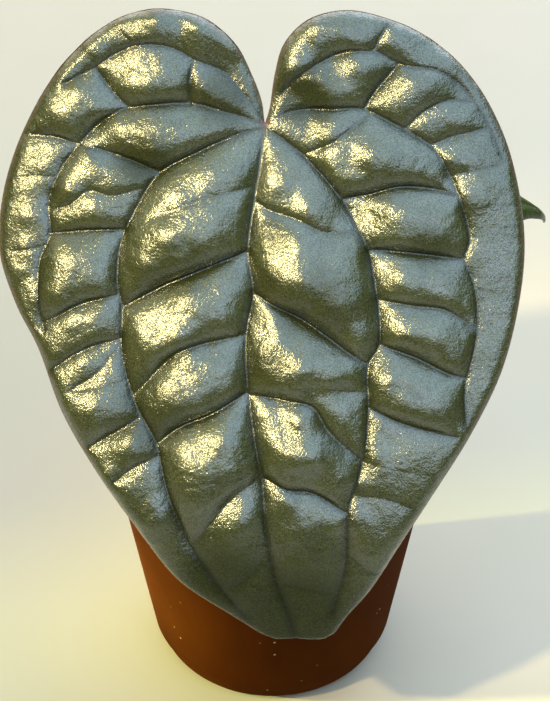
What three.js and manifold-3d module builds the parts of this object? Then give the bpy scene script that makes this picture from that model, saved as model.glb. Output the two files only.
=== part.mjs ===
// A potted anthurium with one large bullate leaf and a smaller second leaf, in a round nursery pot.
// Millimetres, +Z up. The origin is the centre of the pot's base, and the plant faces -Y.

import * as THREE from 'three';
import { mergeVertices } from 'three/addons/utils/BufferGeometryUtils.js';
import Module from 'manifold-3d';

const wasm = await Module();
wasm.setup();

// Pot
const POT_HEIGHT = 96;
const POT_BASE_RADIUS = 39.6; // where the line of the wall meets the base
const POT_TAPER = 0.15; // radius gained per mm of height
const POT_WALL = 1.5;
const POT_FLOOR = 2;
const POT_HEEL = 8; // radius of the rounding between the base and the wall
const RIM_BAND = 9; // height of the thicker band round the mouth
const RIM_STAND = 1.2; // how far that band stands out
const DRAIN_COUNT = 8;
const DRAIN_RADIUS = 3.2;
const DRAIN_CIRCLE = 21;
const POT_SIDES = 48;

// Potting mix
const MIX_TOP = 83; // its level at the wall
const MIX_DOME = 2; // how much higher it is in the middle
const CHUNK_COUNT = 70;
const CHUNK_RADIUS = [3.5, 7];
const CHUNK_LIFT = [2.5, 5.5];

// Crown: the short stem, with the roots that grow out of it
const CROWN_AT = [2, 8];
const CROWN_FOOT = 52;
const CROWN_TOP = 101;
const CROWN_RADIUS = 9.5;
const ROOT_EXIT = 89.5; // height at which the roots leave the crown
const ROOT_RADIUS = 1.9;
const ROOT_BEARINGS = [-120, -48, 85, 168]; // degrees from +X

// Cataphylls: the dry bracts that stand round the crown
const CATAPHYLL_THICKNESS = 0.8;
const CATAPHYLL_FOOT = 94;
const CATAPHYLLS = [
  { bearing: -105, halfAngle: 46, height: 37, flare: 3.5 },
  { bearing: 150, halfAngle: 38, height: 28, flare: 5 },
];

// Petioles: radius of the stalk, of its sheath at the foot, and of the knee below the blade
const MAIN_PETIOLE = { stalk: 2.4, sheath: 4.4, knee: 3.1, end: 2.7 };
const SECOND_PETIOLE = { stalk: 1.7, sheath: 3.3, knee: 2.2, end: 1.8 };
const SHEATH_LENGTH = 22;
const KNEE_LENGTH = 13;

// Blades
const BLADE_THICKNESS = 1;
const KEEL_DEPTH = 1.4; // how far the strong veins stand out below the blade
const KEEL_WIDTH = 1.8;
const MARGIN_ROLL = 1.4; // how far the last stretch before the margin curls back
const MARGIN_ROLL_WIDTH = 4.5;
const SLANT = 0.45; // how far a bulla leans toward the tip, for its height
const PAD_DEPTH = 3; // the pad under the knot, where the petiole joins the blade
const PAD_RADIUS = 3.6;

// Fit
const GAP = 0.3; // kept between neighbouring pieces

const ROUND = Math.PI * 2;
const DEGREE = Math.PI / 180;
const vector = (x, y, z) => new THREE.Vector3(x, y, z);

// Seeded random numbers from 0 to 1
function randomSource(seed) {
  let state = seed >>> 0;
  return () => {
    state = (state + 0x6d2b79f5) >>> 0;
    let t = Math.imul(state ^ (state >>> 15), 1 | state);
    t = (t + Math.imul(t ^ (t >>> 7), 61 | t)) ^ t;
    return ((t ^ (t >>> 14)) >>> 0) / 4294967296;
  };
}

// Meshes and solids

function geometryFrom(positions, triangles) {
  const geometry = new THREE.BufferGeometry();
  geometry.setAttribute('position', new THREE.Float32BufferAttribute(positions, 3));
  geometry.setIndex(triangles);
  return geometry;
}

// A solid from a closed geometry: shared vertices merged, empty triangles dropped, faces turned outwards
function solidFrom(geometry) {
  const bare = geometry.clone();
  bare.deleteAttribute('normal');
  bare.deleteAttribute('uv');
  const merged = mergeVertices(bare, 1e-4);
  const place = merged.getAttribute('position');
  const index = merged.getIndex().array;
  const corner = [vector(), vector(), vector()];
  const triangles = [];
  let volume = 0;
  for (let i = 0; i < index.length; i += 3) {
    const [a, b, c] = [index[i], index[i + 1], index[i + 2]];
    if (a === b || b === c || c === a) continue;
    triangles.push(a, b, c);
    [a, b, c].forEach((vertex, k) => corner[k].fromBufferAttribute(place, vertex));
    volume += corner[0].dot(corner[1].cross(corner[2]));
  }
  if (volume < 0) triangles.reverse();
  return new wasm.Manifold(new wasm.Mesh({
    numProp: 3,
    vertProperties: new Float32Array(place.array),
    triVerts: new Uint32Array(triangles),
  }));
}

function geometryOf(solid) {
  const { vertProperties, triVerts } = solid.getMesh();
  return geometryFrom(Array.from(vertProperties), Array.from(triVerts));
}

function lathe(profile, sides) {
  const points = profile.map(([radius, height]) => new THREE.Vector2(radius, height));
  return new THREE.LatheGeometry(points, sides).rotateX(Math.PI / 2);
}

function upright(radius, low, high, x, y, sides = 20) {
  const geometry = new THREE.CylinderGeometry(radius, radius, high - low, sides).rotateX(Math.PI / 2);
  return geometry.translate(x, y, (low + high) / 2);
}

// A closed tube along a smooth path, its radius given at each length from its start
function sweep(path, radiusAt, steps, sides) {
  const curve = new THREE.CatmullRomCurve3(path.map((point) => vector(...point)), false, 'centripetal');
  const length = curve.getLength();
  const frames = curve.computeFrenetFrames(steps, false);
  const positions = [];
  const triangles = [];
  for (let i = 0; i <= steps; i++) {
    const centre = curve.getPointAt(i / steps);
    const radius = radiusAt((length * i) / steps, length);
    for (let k = 0; k < sides; k++) {
      const turn = (ROUND * k) / sides;
      const point = centre.clone()
        .addScaledVector(frames.normals[i], radius * Math.cos(turn))
        .addScaledVector(frames.binormals[i], radius * Math.sin(turn));
      positions.push(point.x, point.y, point.z);
    }
  }
  for (let i = 0; i < steps; i++) {
    for (let k = 0; k < sides; k++) {
      const [a, b] = [i * sides + k, i * sides + ((k + 1) % sides)];
      triangles.push(a, b, b + sides, a, b + sides, a + sides);
    }
  }
  const last = steps * sides;
  for (let k = 1; k < sides - 1; k++) {
    triangles.push(0, k + 1, k, last, last + k, last + k + 1);
  }
  return geometryFrom(positions, triangles);
}

// Pot

const wallRadius = (height) => POT_BASE_RADIUS + POT_TAPER * height;

// The rounding from the base up to the wall, as points from the base outwards
function heel(inset, floor) {
  const radius = POT_HEEL - inset;
  const centre = [POT_BASE_RADIUS - POT_HEEL, floor + radius];
  const steps = 5;
  const end = -Math.atan(POT_TAPER);
  return Array.from({ length: steps + 1 }, (_, i) => {
    const angle = -Math.PI / 2 + ((end + Math.PI / 2) * i) / steps;
    return [centre[0] + radius * Math.cos(angle), centre[1] + radius * Math.sin(angle)];
  });
}

function potSolid() {
  const bandFoot = POT_HEIGHT - RIM_BAND;
  const lip = 0.6;
  const mouth = wallRadius(POT_HEIGHT);
  const profile = [
    [0, 0],
    ...heel(0, 0),
    [wallRadius(bandFoot), bandFoot],
    [wallRadius(bandFoot) + RIM_STAND, bandFoot + lip],
    [mouth + RIM_STAND, POT_HEIGHT - lip],
    [mouth + RIM_STAND - lip, POT_HEIGHT],
    [mouth - POT_WALL + lip, POT_HEIGHT],
    [mouth - POT_WALL, POT_HEIGHT - lip],
    ...heel(POT_WALL, POT_FLOOR).reverse(),
    [0, POT_FLOOR],
  ];
  let pot = solidFrom(lathe(profile, POT_SIDES));
  for (let i = 0; i < DRAIN_COUNT; i++) {
    const turn = (ROUND * i) / DRAIN_COUNT;
    const [x, y] = [DRAIN_CIRCLE * Math.cos(turn), DRAIN_CIRCLE * Math.sin(turn)];
    pot = pot.subtract(solidFrom(upright(DRAIN_RADIUS, -1, POT_FLOOR + 1, x, y, 10)));
  }
  return pot;
}

// Potting mix: a filled shape with a lumpy top, each lump a rounded piece of bark

function mixSolid(cutters) {
  const random = randomSource(11);
  const between = ([low, high]) => low + (high - low) * random();
  const topRadius = wallRadius(MIX_TOP) - POT_WALL - GAP;
  const chunks = Array.from({ length: CHUNK_COUNT }, () => {
    const reach = topRadius * Math.sqrt(random());
    const turn = ROUND * random();
    return {
      x: reach * Math.cos(turn),
      y: reach * Math.sin(turn),
      radius: between(CHUNK_RADIUS),
      lift: between(CHUNK_LIFT),
    };
  });
  const surface = (x, y) => {
    const lumps = chunks.map((chunk) => {
      const away = Math.hypot(x - chunk.x, y - chunk.y) / chunk.radius;
      return chunk.lift * Math.sqrt(Math.max(0, 1 - away * away));
    });
    const out = Math.hypot(x, y) / topRadius;
    return MIX_TOP + (MIX_DOME + Math.max(...lumps)) * (1 - out ** 4);
  };
  const rings = 11;
  const sides = 44;
  const positions = [0, 0, surface(0, 0)];
  const triangles = [];
  const ring = (radius, heightAt) => {
    for (let k = 0; k < sides; k++) {
      const turn = (ROUND * k) / sides;
      const [x, y] = [radius * Math.cos(turn), radius * Math.sin(turn)];
      positions.push(x, y, heightAt(x, y));
    }
  };
  for (let i = 1; i <= rings; i++) ring((topRadius * i) / rings, surface);
  const side = heel(POT_WALL + GAP, POT_FLOOR + GAP).reverse();
  for (const [radius, height] of side) ring(radius, () => height);
  const count = rings + side.length;
  for (let k = 0; k < sides; k++) triangles.push(0, 1 + k, 1 + ((k + 1) % sides));
  for (let i = 0; i < count - 1; i++) {
    for (let k = 0; k < sides; k++) {
      const [a, b] = [1 + i * sides + k, 1 + i * sides + ((k + 1) % sides)];
      triangles.push(a, a + sides, b + sides, a, b + sides, b);
    }
  }
  const last = 1 + (count - 1) * sides;
  for (let k = 1; k < sides - 1; k++) triangles.push(last, last + k + 1, last + k);
  const uncut = solidFrom(geometryFrom(positions, triangles));
  return cutters.reduce((mix, cutter) => mix.subtract(cutter), uncut);
}

// Crown and roots. `spare` widens them all round, for the holes that they stand in.

function crownBody(spare) {
  const shoulder = 5;
  const [x, y] = CROWN_AT;
  const radius = CROWN_RADIUS + spare;
  const profile = [
    [0, CROWN_FOOT - spare],
    [radius * 0.7, CROWN_FOOT - spare],
    [radius * 0.86, CROWN_FOOT + 10],
    [radius * 0.92, ROOT_EXIT - 12],
    [radius, ROOT_EXIT],
    [radius, CROWN_TOP - shoulder],
    [radius - 1.5, CROWN_TOP - 1.2],
    [radius - shoulder, CROWN_TOP + spare],
    [0, CROWN_TOP + spare],
  ];
  return solidFrom(lathe(profile, 20).translate(x, y, 0));
}

function rootBodies(spare) {
  const reaches = [[-3, 0], [4, 0.5], [11, -5], [14, -17]];
  return ROOT_BEARINGS.map((bearing) => {
    const turn = bearing * DEGREE;
    const path = reaches.map(([out, rise]) => [
      CROWN_AT[0] + (CROWN_RADIUS + out) * Math.cos(turn),
      CROWN_AT[1] + (CROWN_RADIUS + out) * Math.sin(turn),
      ROOT_EXIT + rise,
    ]);
    const end = path[path.length - 1];
    path.push([end[0], end[1], end[2] - 8 - spare]);
    return solidFrom(sweep(path, () => ROOT_RADIUS + spare, 12, 7));
  });
}

function crownSolid(cutters) {
  const grown = rootBodies(0).reduce((crown, root) => crown.add(root), crownBody(0));
  return cutters.reduce((crown, cutter) => crown.subtract(cutter), grown);
}

// Petioles

const MAIN_PATH = [
  [0.5, 5.5, 93],
  [0.3, 5, 104],
  [-0.4, 8.5, 128],
  [-1.2, 14.5, 156],
  [-1.8, 20.5, 178],
  [-2, 23, 190],
];
const SECOND_PATH = [
  [6.5, 11, 90],
  [9, 12.5, 100],
  [20, 18, 118],
  [36, 24.5, 137],
  [49, 28, 151],
];

// The path runs on to the pad under the blade, which it meets square
function petiolePath(path, blade) {
  const outwards = blade.frame.normal;
  const end = bladePlace(blade, 0, -1.5, -(PAD_DEPTH + GAP));
  const before = end.clone().addScaledVector(outwards, -4);
  return [...path, before.toArray(), end.toArray()];
}

function petioleBody(path, size, spare) {
  const radiusAt = (along, length) => {
    const sheath = (size.sheath - size.stalk) * Math.max(0, 1 - along / SHEATH_LENGTH) ** 1.5;
    const toEnd = length - along;
    const fromKnee = (toEnd - KNEE_LENGTH / 2) / (KNEE_LENGTH / 2.4);
    const swell = (size.knee - size.stalk) * Math.exp(-(fromKnee ** 2));
    const taper = toEnd < 1.5 ? size.end - size.stalk - swell : 0;
    return size.stalk + sheath + swell + taper + spare;
  };
  return solidFrom(sweep(path, radiusAt, 26, 9));
}

// Cataphylls: arched tapering plates whose feet hug the crown

function cataphyllSolid({ bearing, halfAngle, height, flare }) {
  const rows = 10;
  const columns = 8;
  const inner = CROWN_RADIUS + GAP;
  const positions = [];
  for (const offset of [0, CATAPHYLL_THICKNESS]) {
    for (let i = 0; i <= rows; i++) {
      const rise = i / rows;
      const radius = inner + offset + flare * rise ** 1.6;
      const spread = halfAngle * (1 - rise ** 2.2) + 4;
      for (let k = 0; k <= columns; k++) {
        const turn = (bearing + spread * ((2 * k) / columns - 1)) * DEGREE;
        positions.push(
          CROWN_AT[0] + radius * Math.cos(turn),
          CROWN_AT[1] + radius * Math.sin(turn),
          CATAPHYLL_FOOT + height * rise,
        );
      }
    }
  }
  const at = (layer, i, k) => layer * (rows + 1) * (columns + 1) + i * (columns + 1) + k;
  const triangles = [];
  const quad = (a, b, c, d) => triangles.push(a, b, c, a, c, d);
  for (let i = 0; i < rows; i++) {
    for (let k = 0; k < columns; k++) {
      quad(at(1, i, k), at(1, i, k + 1), at(1, i + 1, k + 1), at(1, i + 1, k));
      quad(at(0, i, k), at(0, i + 1, k), at(0, i + 1, k + 1), at(0, i, k + 1));
    }
    quad(at(0, i, 0), at(1, i, 0), at(1, i + 1, 0), at(0, i + 1, 0));
    quad(at(0, i, columns), at(0, i + 1, columns), at(1, i + 1, columns), at(1, i, columns));
  }
  for (let k = 0; k < columns; k++) {
    quad(at(0, 0, k), at(0, 0, k + 1), at(1, 0, k + 1), at(1, 0, k));
    quad(at(0, rows, k), at(1, rows, k), at(1, rows, k + 1), at(0, rows, k + 1));
  }
  return solidFrom(geometryFrom(positions, triangles));
}

// Blades. Each is drawn flat in (u, v) millimetres from its knot, where the petiole joins it:
// u to the right and v away from the tip, as seen from above the blade. Then it is raised and bent.

// Splits a point set into Delaunay triangles
function delaunay(points) {
  const far = 1e4;
  const count = points.length;
  const all = [...points, [-far, -far], [far, -far], [0, far]];
  const withCircle = (a, b, c) => {
    const [ax, ay] = all[a];
    const [bx, by] = [all[b][0] - ax, all[b][1] - ay];
    const [cx, cy] = [all[c][0] - ax, all[c][1] - ay];
    const twice = 2 * (bx * cy - by * cx);
    const x = (cy * (bx * bx + by * by) - by * (cx * cx + cy * cy)) / twice;
    const y = (bx * (cx * cx + cy * cy) - cx * (bx * bx + by * by)) / twice;
    return { a, b, c, x: ax + x, y: ay + y, square: x * x + y * y };
  };
  let triangles = [withCircle(count, count + 1, count + 2)];
  for (let i = 0; i < count; i++) {
    const [x, y] = all[i];
    const rim = new Map();
    triangles = triangles.filter((t) => {
      if ((x - t.x) ** 2 + (y - t.y) ** 2 >= t.square) return true;
      for (const [from, to] of [[t.a, t.b], [t.b, t.c], [t.c, t.a]]) {
        const back = `${to},${from}`;
        if (rim.has(back)) rim.delete(back);
        else rim.set(`${from},${to}`, [from, to]);
      }
      return false;
    });
    for (const [from, to] of rim.values()) triangles.push(withCircle(from, to, i));
  }
  return triangles.filter((t) => Math.max(t.a, t.b, t.c) < count).map((t) => [t.a, t.b, t.c]);
}

function smooth(points, spacing) {
  const curve = new THREE.CatmullRomCurve3(points.map(([u, v]) => vector(u, v, 0)), false, 'centripetal');
  const steps = Math.max(1, Math.round(curve.getLength() / spacing));
  return curve.getSpacedPoints(steps).map((point) => [point.x, point.y]);
}

function isInside(polygon, u, v) {
  let inside = false;
  polygon.forEach(([u1, v1], i) => {
    const [u2, v2] = polygon[(i + 1) % polygon.length];
    if (v1 > v !== v2 > v && u < u1 + ((u2 - u1) * (v - v1)) / (v2 - v1)) inside = !inside;
  });
  return inside;
}

function distanceTo(polyline, u, v) {
  let nearest = Infinity;
  for (let i = 0; i < polyline.length - 1; i++) {
    const [u1, v1] = polyline[i];
    const [du, dv] = [polyline[i + 1][0] - u1, polyline[i + 1][1] - v1];
    const t = Math.min(1, Math.max(0, ((u - u1) * du + (v - v1) * dv) / (du * du + dv * dv || 1)));
    nearest = Math.min(nearest, Math.hypot(u - u1 - t * du, v - v1 - t * dv));
  }
  return nearest;
}

// Main blade: its margin from the sinus round to the apex on each side, and its veins.
// A vein's depth says how firmly it holds the blade down between the bullae, from 0 to 1.
const MAIN_LEFT = [
  [-0.4, 1.2], [-1.2, 7], [-4, 14.8], [-8.9, 23.8], [-17.7, 31.2], [-29, 34.2], [-40.8, 32.9],
  [-52.4, 26.4], [-63.8, 14.5], [-73.4, -2.3], [-79, -19.8], [-80.3, -36.7], [-75.3, -53.1],
  [-68.4, -66.5], [-61.3, -85.4], [-51.4, -102.9], [-38.5, -121.9], [-26, -138.7], [-11.3, -149.8],
  [-3, -156], [1, -159.5], [5, -165], [10.8, -174],
];
const MAIN_RIGHT = [
  [0.4, 1.2], [1.6, 5], [3.2, 15.3], [6, 24.3], [12.9, 31], [24.2, 33.8], [37, 31.3], [50, 25.4],
  [62.6, 13.5], [71.6, -2.8], [76.4, -20.7], [77.9, -37.1], [75.9, -55.1], [70.9, -74], [62.1, -92.1],
  [49.7, -112.2], [40.3, -127.4], [31.7, -142], [24.5, -151.5], [19.8, -159.5], [14.5, -167],
  [10.8, -174],
];
const MAIN_VEINS = {
  midrib: { depth: 1, path: [[0, -0.5], [-1.5, -12], [-4, -27], [-5, -37.5], [-3.5, -50],
    [-5.5, -61.5], [-5.5, -74], [-3.5, -91.5], [-1, -106], [0.5, -123], [3.5, -138.5], [8, -152],
    [10.4, -166]] },
  leftArc: { depth: 1, path: [[0, -0.5], [-9, -3], [-18.5, -7], [-31.5, -14], [-38.5, -24.5],
    [-42.9, -34], [-44.4, -45], [-42.9, -55], [-42.9, -67.5], [-39.5, -81.5], [-32.5, -95.5],
    [-29.5, -108.5], [-23.5, -124.5], [-16, -137], [-5.5, -151]] },
  rightArc: { depth: 1, path: [[0, -0.5], [11, -8.5], [21.5, -20], [27, -29], [31, -37.5], [33, -48],
    [34.5, -60], [34, -66.5], [31, -71.5], [31, -82.5], [30, -98.5], [25, -116], [24.5, -131.5],
    [20.5, -149]] },
  leftOuter: { depth: 0.95, path: [[-0.5, 0.5], [-11.5, 4], [-20.5, 6.4], [-34.5, 6.4], [-44.4, 4.4],
    [-52.9, -2.1], [-61.3, -12.7], [-65.2, -22.7], [-64.7, -32.6], [-67.7, -39.6], [-68.2, -52.1],
    [-66.7, -61]] },
  rightOuter: { depth: 0.9, path: [[1, 1], [8, 4], [19.5, 5], [29, 5], [41, -0.6], [50.4, -6.6],
    [55.4, -14.6], [59.9, -26.1], [61.4, -34.6], [59.9, -39.6], [62.8, -48.1], [63.8, -60],
    [61.9, -70.5], [59.9, -79.5], [60.4, -89.9]] },
  leftLobe: { depth: 0.8, path: [[-0.5, 1.5], [-4.5, 7], [-12, 15.3], [-21.4, 20], [-29.7, 23.8],
    [-38.2, 24.2], [-45.1, 21.4], [-52.2, 17], [-60.7, 13.1]] },
  rightLobe: { depth: 0.8, path: [[1, 2], [5.5, 9.9], [11, 15.7], [17.9, 19.6], [25.8, 22.4],
    [33.8, 21.9], [40.3, 18.6], [51.8, 16.6], [60.8, 9.7], [66.8, 0.8], [71.3, -10.2]] },
  innerLeft1: { depth: 0.35, path: [[-3, -17.5], [-12.5, -19], [-22, -21.5], [-34.5, -26.5]] },
  innerLeft2: { depth: 1, path: [[-5, -37.5], [-18, -42.5], [-29, -47], [-42.9, -54.5]] },
  innerLeft3: { depth: 0.7, path: [[-5.5, -62.5], [-15.5, -64], [-25.5, -66.5], [-31.5, -72],
    [-39.5, -81]] },
  innerLeft4: { depth: 1, path: [[-5.5, -80], [-16, -86], [-26, -90.5], [-32.5, -95.5]] },
  innerLeft5: { depth: 0.5, path: [[-1.5, -105.5], [-8.5, -109.5], [-16, -117.5], [-22, -126]] },
  innerLeft6: { depth: 0.4, path: [[1.5, -127], [-5, -135], [-12.5, -142]] },
  innerRight1: { depth: 0.55, path: [[-3.5, -22], [2, -25], [10, -27], [18, -31], [28, -31]] },
  innerRight2: { depth: 1, path: [[-4, -49.5], [5, -54.5], [14, -59.5], [24, -67], [31.5, -72]] },
  innerRight3: { depth: 0.8, path: [[-5, -80.5], [5.5, -81.5], [14, -83], [19, -91], [29.5, -101]] },
  innerRight4: { depth: 1, path: [[-1, -105.5], [6.5, -108.5], [14, -110], [25, -116]] },
  innerRight5: { depth: 0.4, path: [[4, -138.5], [13.5, -140], [22.5, -142.5]] },
  middleLeft1: { depth: 0.85, path: [[-31, -14], [-38.5, -10.6], [-46.4, -7.6], [-54.9, -5.2]] },
  middleLeft2: { depth: 0.5, path: [[-38, -18.5], [-45.9, -20.1], [-52.9, -18.6], [-58.3, -22.6],
    [-65.2, -25.2]] },
  middleLeft3: { depth: 1, path: [[-41.9, -31], [-52.9, -31.1], [-64.7, -32.1]] },
  middleLeft4: { depth: 0.85, path: [[-44.4, -50.5], [-55.4, -53], [-62.3, -56.5], [-68.2, -60]] },
  middleLeft5: { depth: 0.85, path: [[-42.9, -63.5], [-54.9, -67], [-61.3, -71], [-65.2, -74]] },
  middleLeft6: { depth: 0.5, path: [[-43.4, -65], [-49.9, -73], [-58.8, -79]] },
  middleLeft7: { depth: 0.8, path: [[-38, -87.5], [-43.9, -91], [-52.9, -96.4]] },
  middleLeft8: { depth: 0.7, path: [[-32, -99], [-38.5, -101.5], [-45.4, -106.4]] },
  middleLeft9: { depth: 0.3, path: [[-29, -111.5], [-35, -115], [-40.4, -117.4]] },
  outerLeft1: { depth: 0.85, path: [[-40.4, 5.4], [-45.9, 10.8], [-50.7, 17]] },
  outerLeft2: { depth: 0.75, path: [[-22.5, 6.4], [-22.4, 13.3], [-21.4, 20]] },
  outerLeft3: { depth: 0.85, path: [[-55.4, -5.2], [-63.8, -2.7], [-71.6, -2.3]] },
  outerLeft4: { depth: 0.4, path: [[-63.3, -14.7], [-69.7, -14.2], [-76.1, -16.3]] },
  outerLeft6: { depth: 0.5, path: [[-66.2, -35.6], [-71.6, -36.7], [-78, -37.2]] },
  lobeLeft1: { depth: 0.5, path: [[-39.1, 24.2], [-42.5, 27.5], [-45.4, 29.7]] },
  lobeRight1: { depth: 0.75, path: [[31.8, 22.4], [34.7, 26.6], [36.6, 30.3]] },
  outerRight1: { depth: 0.95, path: [[29.5, 4.9], [33.4, 10.8], [40.3, 18.6]] },
  outerRight2: { depth: 0.7, path: [[41.5, -1.1], [47.4, 4.4], [54.4, 7.8], [61.8, 7.3]] },
  outerRight3: { depth: 0.7, path: [[50.4, -5.6], [57.9, -2.6], [67.3, -0.7]] },
  outerRight4: { depth: 0.4, path: [[55.4, -14.6], [62.8, -13.1], [71.3, -11.2]] },
  middleRight1: { depth: 0.6, path: [[31, 3.5], [25, -1], [19, -5], [11.5, -8.5]] },
  middleRight2: { depth: 1, path: [[23.5, -22], [31, -20.5], [40, -18], [49.4, -18.6],
    [56.9, -20.1]] },
  middleRight3: { depth: 1, path: [[31, -37], [45, -38], [59.9, -40.1]] },
  middleRight4: { depth: 0.75, path: [[33.5, -52], [45, -53.5], [54.4, -55], [63.3, -61.5]] },
  middleRight5: { depth: 1, path: [[34, -65.5], [45, -69.5], [55.4, -74.5], [60.9, -76]] },
  middleRight6: { depth: 0.9, path: [[31, -84.5], [42, -89.5], [56.9, -93.4]] },
  middleRight7: { depth: 0.3, path: [[29.5, -100.5], [39, -102.5], [49.4, -104.4]] },
  middleRight8: { depth: 0.45, path: [[27, -111], [36, -111.5], [44, -114.4]] },
  middleRight9: { depth: 0.5, path: [[25, -129], [29, -132], [34, -136]] },
};

// Where the blade is less full than elsewhere: the flat right margin, the tip and the knot
const MAIN_CALM = [
  { at: [70, -4], radius: 10, fullness: 0.3 },
  { at: [72, -17], radius: 8, fullness: 0.22 },
  { at: [71, -32], radius: 11, fullness: 0.05 },
  { at: [72, -46], radius: 11, fullness: 0.05 },
  { at: [71, -60], radius: 10, fullness: 0.08 },
  { at: [68, -74], radius: 10, fullness: 0.1 },
  { at: [63, -88], radius: 9, fullness: 0.2 },
  { at: [-73, -6], radius: 10, fullness: 0.4 },
  { at: [-75, -22], radius: 10, fullness: 0.35 },
  { at: [-76, -38], radius: 10, fullness: 0.35 },
  { at: [-74, -52], radius: 9, fullness: 0.4 },
  { at: [50, -104], radius: 14, fullness: 0.45 },
  { at: [38, -104], radius: 13, fullness: 0.4 },
  { at: [34, -118], radius: 10, fullness: 0.45 },
  { at: [2, -132], radius: 22, fullness: 0.4 },
  { at: [20, -135], radius: 14, fullness: 0.4 },
  { at: [9, -156], radius: 20, fullness: 0.15 },
  { at: [-25, -132], radius: 12, fullness: 0.4 },
  { at: [0, 0], radius: 12, fullness: 0.35 },
];

// Where the skin leaves its even swelling: place, radius, and slope across and upward
const MAIN_TILTS = [
  [[-44, 32], 6, [-0.18, 0.36]], [[-35, 33], 6, [0.23, 0.19]], [[-22, 31], 6, [0.38, 0.15]],
  [[-52, 26], 6, [-0.3, 0.24]], [[-58, 20], 6, [-0.29, 0.02]], [[-48, 19], 6, [-0.34, 0.26]],
  [[-39, 23], 6, [-0.05, 0.5]], [[-61, 13], 4, [0.07, 0.39]], [[-63, 8], 4, [-0.17, 0.11]],
  [[-43, 0], 6, [-0.13, 0.14]], [[-52, -4], 6, [-0.09, -0.34]], [[-73, -26], 6, [0.05, -0.13]],
  [[-73, -37], 6, [0.06, -0.32]], [[-70, -48], 6, [0.28, -0.24]], [[-59, -17], 4, [-0.22, -0.15]],
  [[-57, -14], 4, [-0.17, -0.18]], [[-58, -57], 6, [-0.09, 0.23]], [[-42, -95], 6, [0.15, 0.02]],
  [[-24, -51], 6, [0.03, 0.16]], [[-28, -60], 6, [0.22, -0.24]], [[-24, -69], 6, [0.08, 0.2]],
  [[-15, -92], 6, [0.25, 0.17]], [[-8, -114], 6, [0.29, -0.34]], [[11, -22], 6, [0.28, -0.2]],
  [[8, -33], 6, [0.24, 0.11]], [[8, -41], 6, [0.04, -0.1]], [[8, -69], 6, [0.33, -0.19]],
  [[8, -85], 6, [0.3, 0.26]], [[3, -109], 6, [0.35, -0.02]], [[27, -114], 6, [-0.2, -0.38]],
  [[29, -105], 6, [-0.16, -0.37]], [[18, -1], 6, [0.41, -0.17]], [[30, -7], 6, [0.37, 0.12]],
  [[26, 19], 6, [0.33, 0.14]], [[41, 11], 6, [0.21, -0.02]], [[54, -8], 6, [-0.02, -0.39]],
  [[57, -18], 6, [0, -0.4]], [[37, -24], 6, [0.14, 0.13]], [[28, -30], 6, [-0.18, -0.36]],
  [[40, -44], 6, [0.21, -0.08]], [[39, -58], 6, [0.15, -0.05]], [[0, -55], 6, [0.26, 0.24]],
  [[11, 13], 6, [-0.11, 0.52]], [[-22, 11], 6, [0.05, 0.2]], [[20, -60], 5, [-0.21, -0.06]],
  [[24, -75], 6, [-0.03, 0.47]], [[49, -64], 6, [-0.02, 0.24]], [[-53, -52], 6, [0.1, -0.02]],
  [[-7, 20], 6, [0.3, 0.5]], [[14, -100], 6, [-0.01, 0.5]], [[-73, -17], 6, [-0.06, -0.02]],
  [[-55, -70], 6, [-0.02, 0.07]], [[14, 29], 6, [0.01, 0.16]], [[35, -75], 6, [0, -0.06]],
  [[-72, -32], 4, [-0.05, -0.21]], [[-74, -42], 4, [0, -0.27]], [[-68, -11], 4, [0.05, -0.14]],
  [[49, 20], 6, [-0.01, -0.39]], [[57, 8], 6, [-0.04, -0.13]], [[35, -97], 6, [-0.31, -0.27]],
  [[41, -90], 6, [-0.07, 0.01]], [[14, -81], 6, [-0.05, -0.39]], [[-46, -103], 5, [-0.04, -0.29]],
  [[-40, -105], 5, [-0.07, 0.08]], [[-34, -113], 6, [0.16, -0.14]], [[50, -1], 6, [0.02, -0.07]],
  [[-12, 25], 6, [0.26, 0.39]],
];

// Second blade: smaller and younger, so its veins are few and even
const SECOND_LEFT = [
  [-0.3, 0.6], [-1.2, 3.6], [-4.5, 8], [-9.5, 9], [-14, 5.6], [-15.8, -0.7], [-14.6, -8], [-11.4, -15.5],
  [-7.6, -22], [-4.9, -27.5], [-3.3, -32.5], [-1.7, -37.5], [0, -42],
];
const SECOND_RIGHT = [
  [0.3, 0.6], [1.2, 3.6], [4.3, 8], [9.2, 9], [13.6, 5.6], [15, -0.7], [13.6, -8], [10, -15.5],
  [6.3, -22], [3.8, -27.5], [2.4, -32.5], [1.2, -37.5], [0, -42],
];
const SECOND_VEINS = { midrib: { depth: 1, path: [[0, -0.5], [0.4, -13], [-0.2, -26], [0, -38]] } };
for (const side of [-1, 1]) {
  const name = side < 0 ? 'left' : 'right';
  const vein = (kind, depth, path) => {
    SECOND_VEINS[name + kind] = { depth, path: path.map(([u, v]) => [side * u, v]) };
  };
  vein('Arc', 1, [[0, -0.5], [5, -2.2], [7.8, -8.5], [7, -17.5], [4, -26], [1.6, -33]]);
  vein('Lobe', 0.8, [[0, 0.4], [4.3, 2.9], [9.2, 2.9], [12, -2], [11.6, -9]]);
  [-6.5, -13.5, -21].forEach((v, i) => {
    vein(`Inner${i}`, 0.8, [[0.4, v], [3.5, v - 1.4], [6.4 - i, v - 4]]);
    vein(`Outer${i}`, 0.7, [[7.4 - 0.9 * i, v - 1.4], [12.5 - 3 * i, v - 3]]);
  });
}

// The blade's own axes in space, from the direction of its midrib and the way it faces
function bladeFrame(knot, along, facing) {
  const up = vector(...along).normalize().negate();
  const normal = vector(...facing);
  normal.addScaledVector(up, -normal.dot(up)).normalize();
  return { knot: vector(...knot), right: up.clone().cross(normal), up, normal };
}

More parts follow.
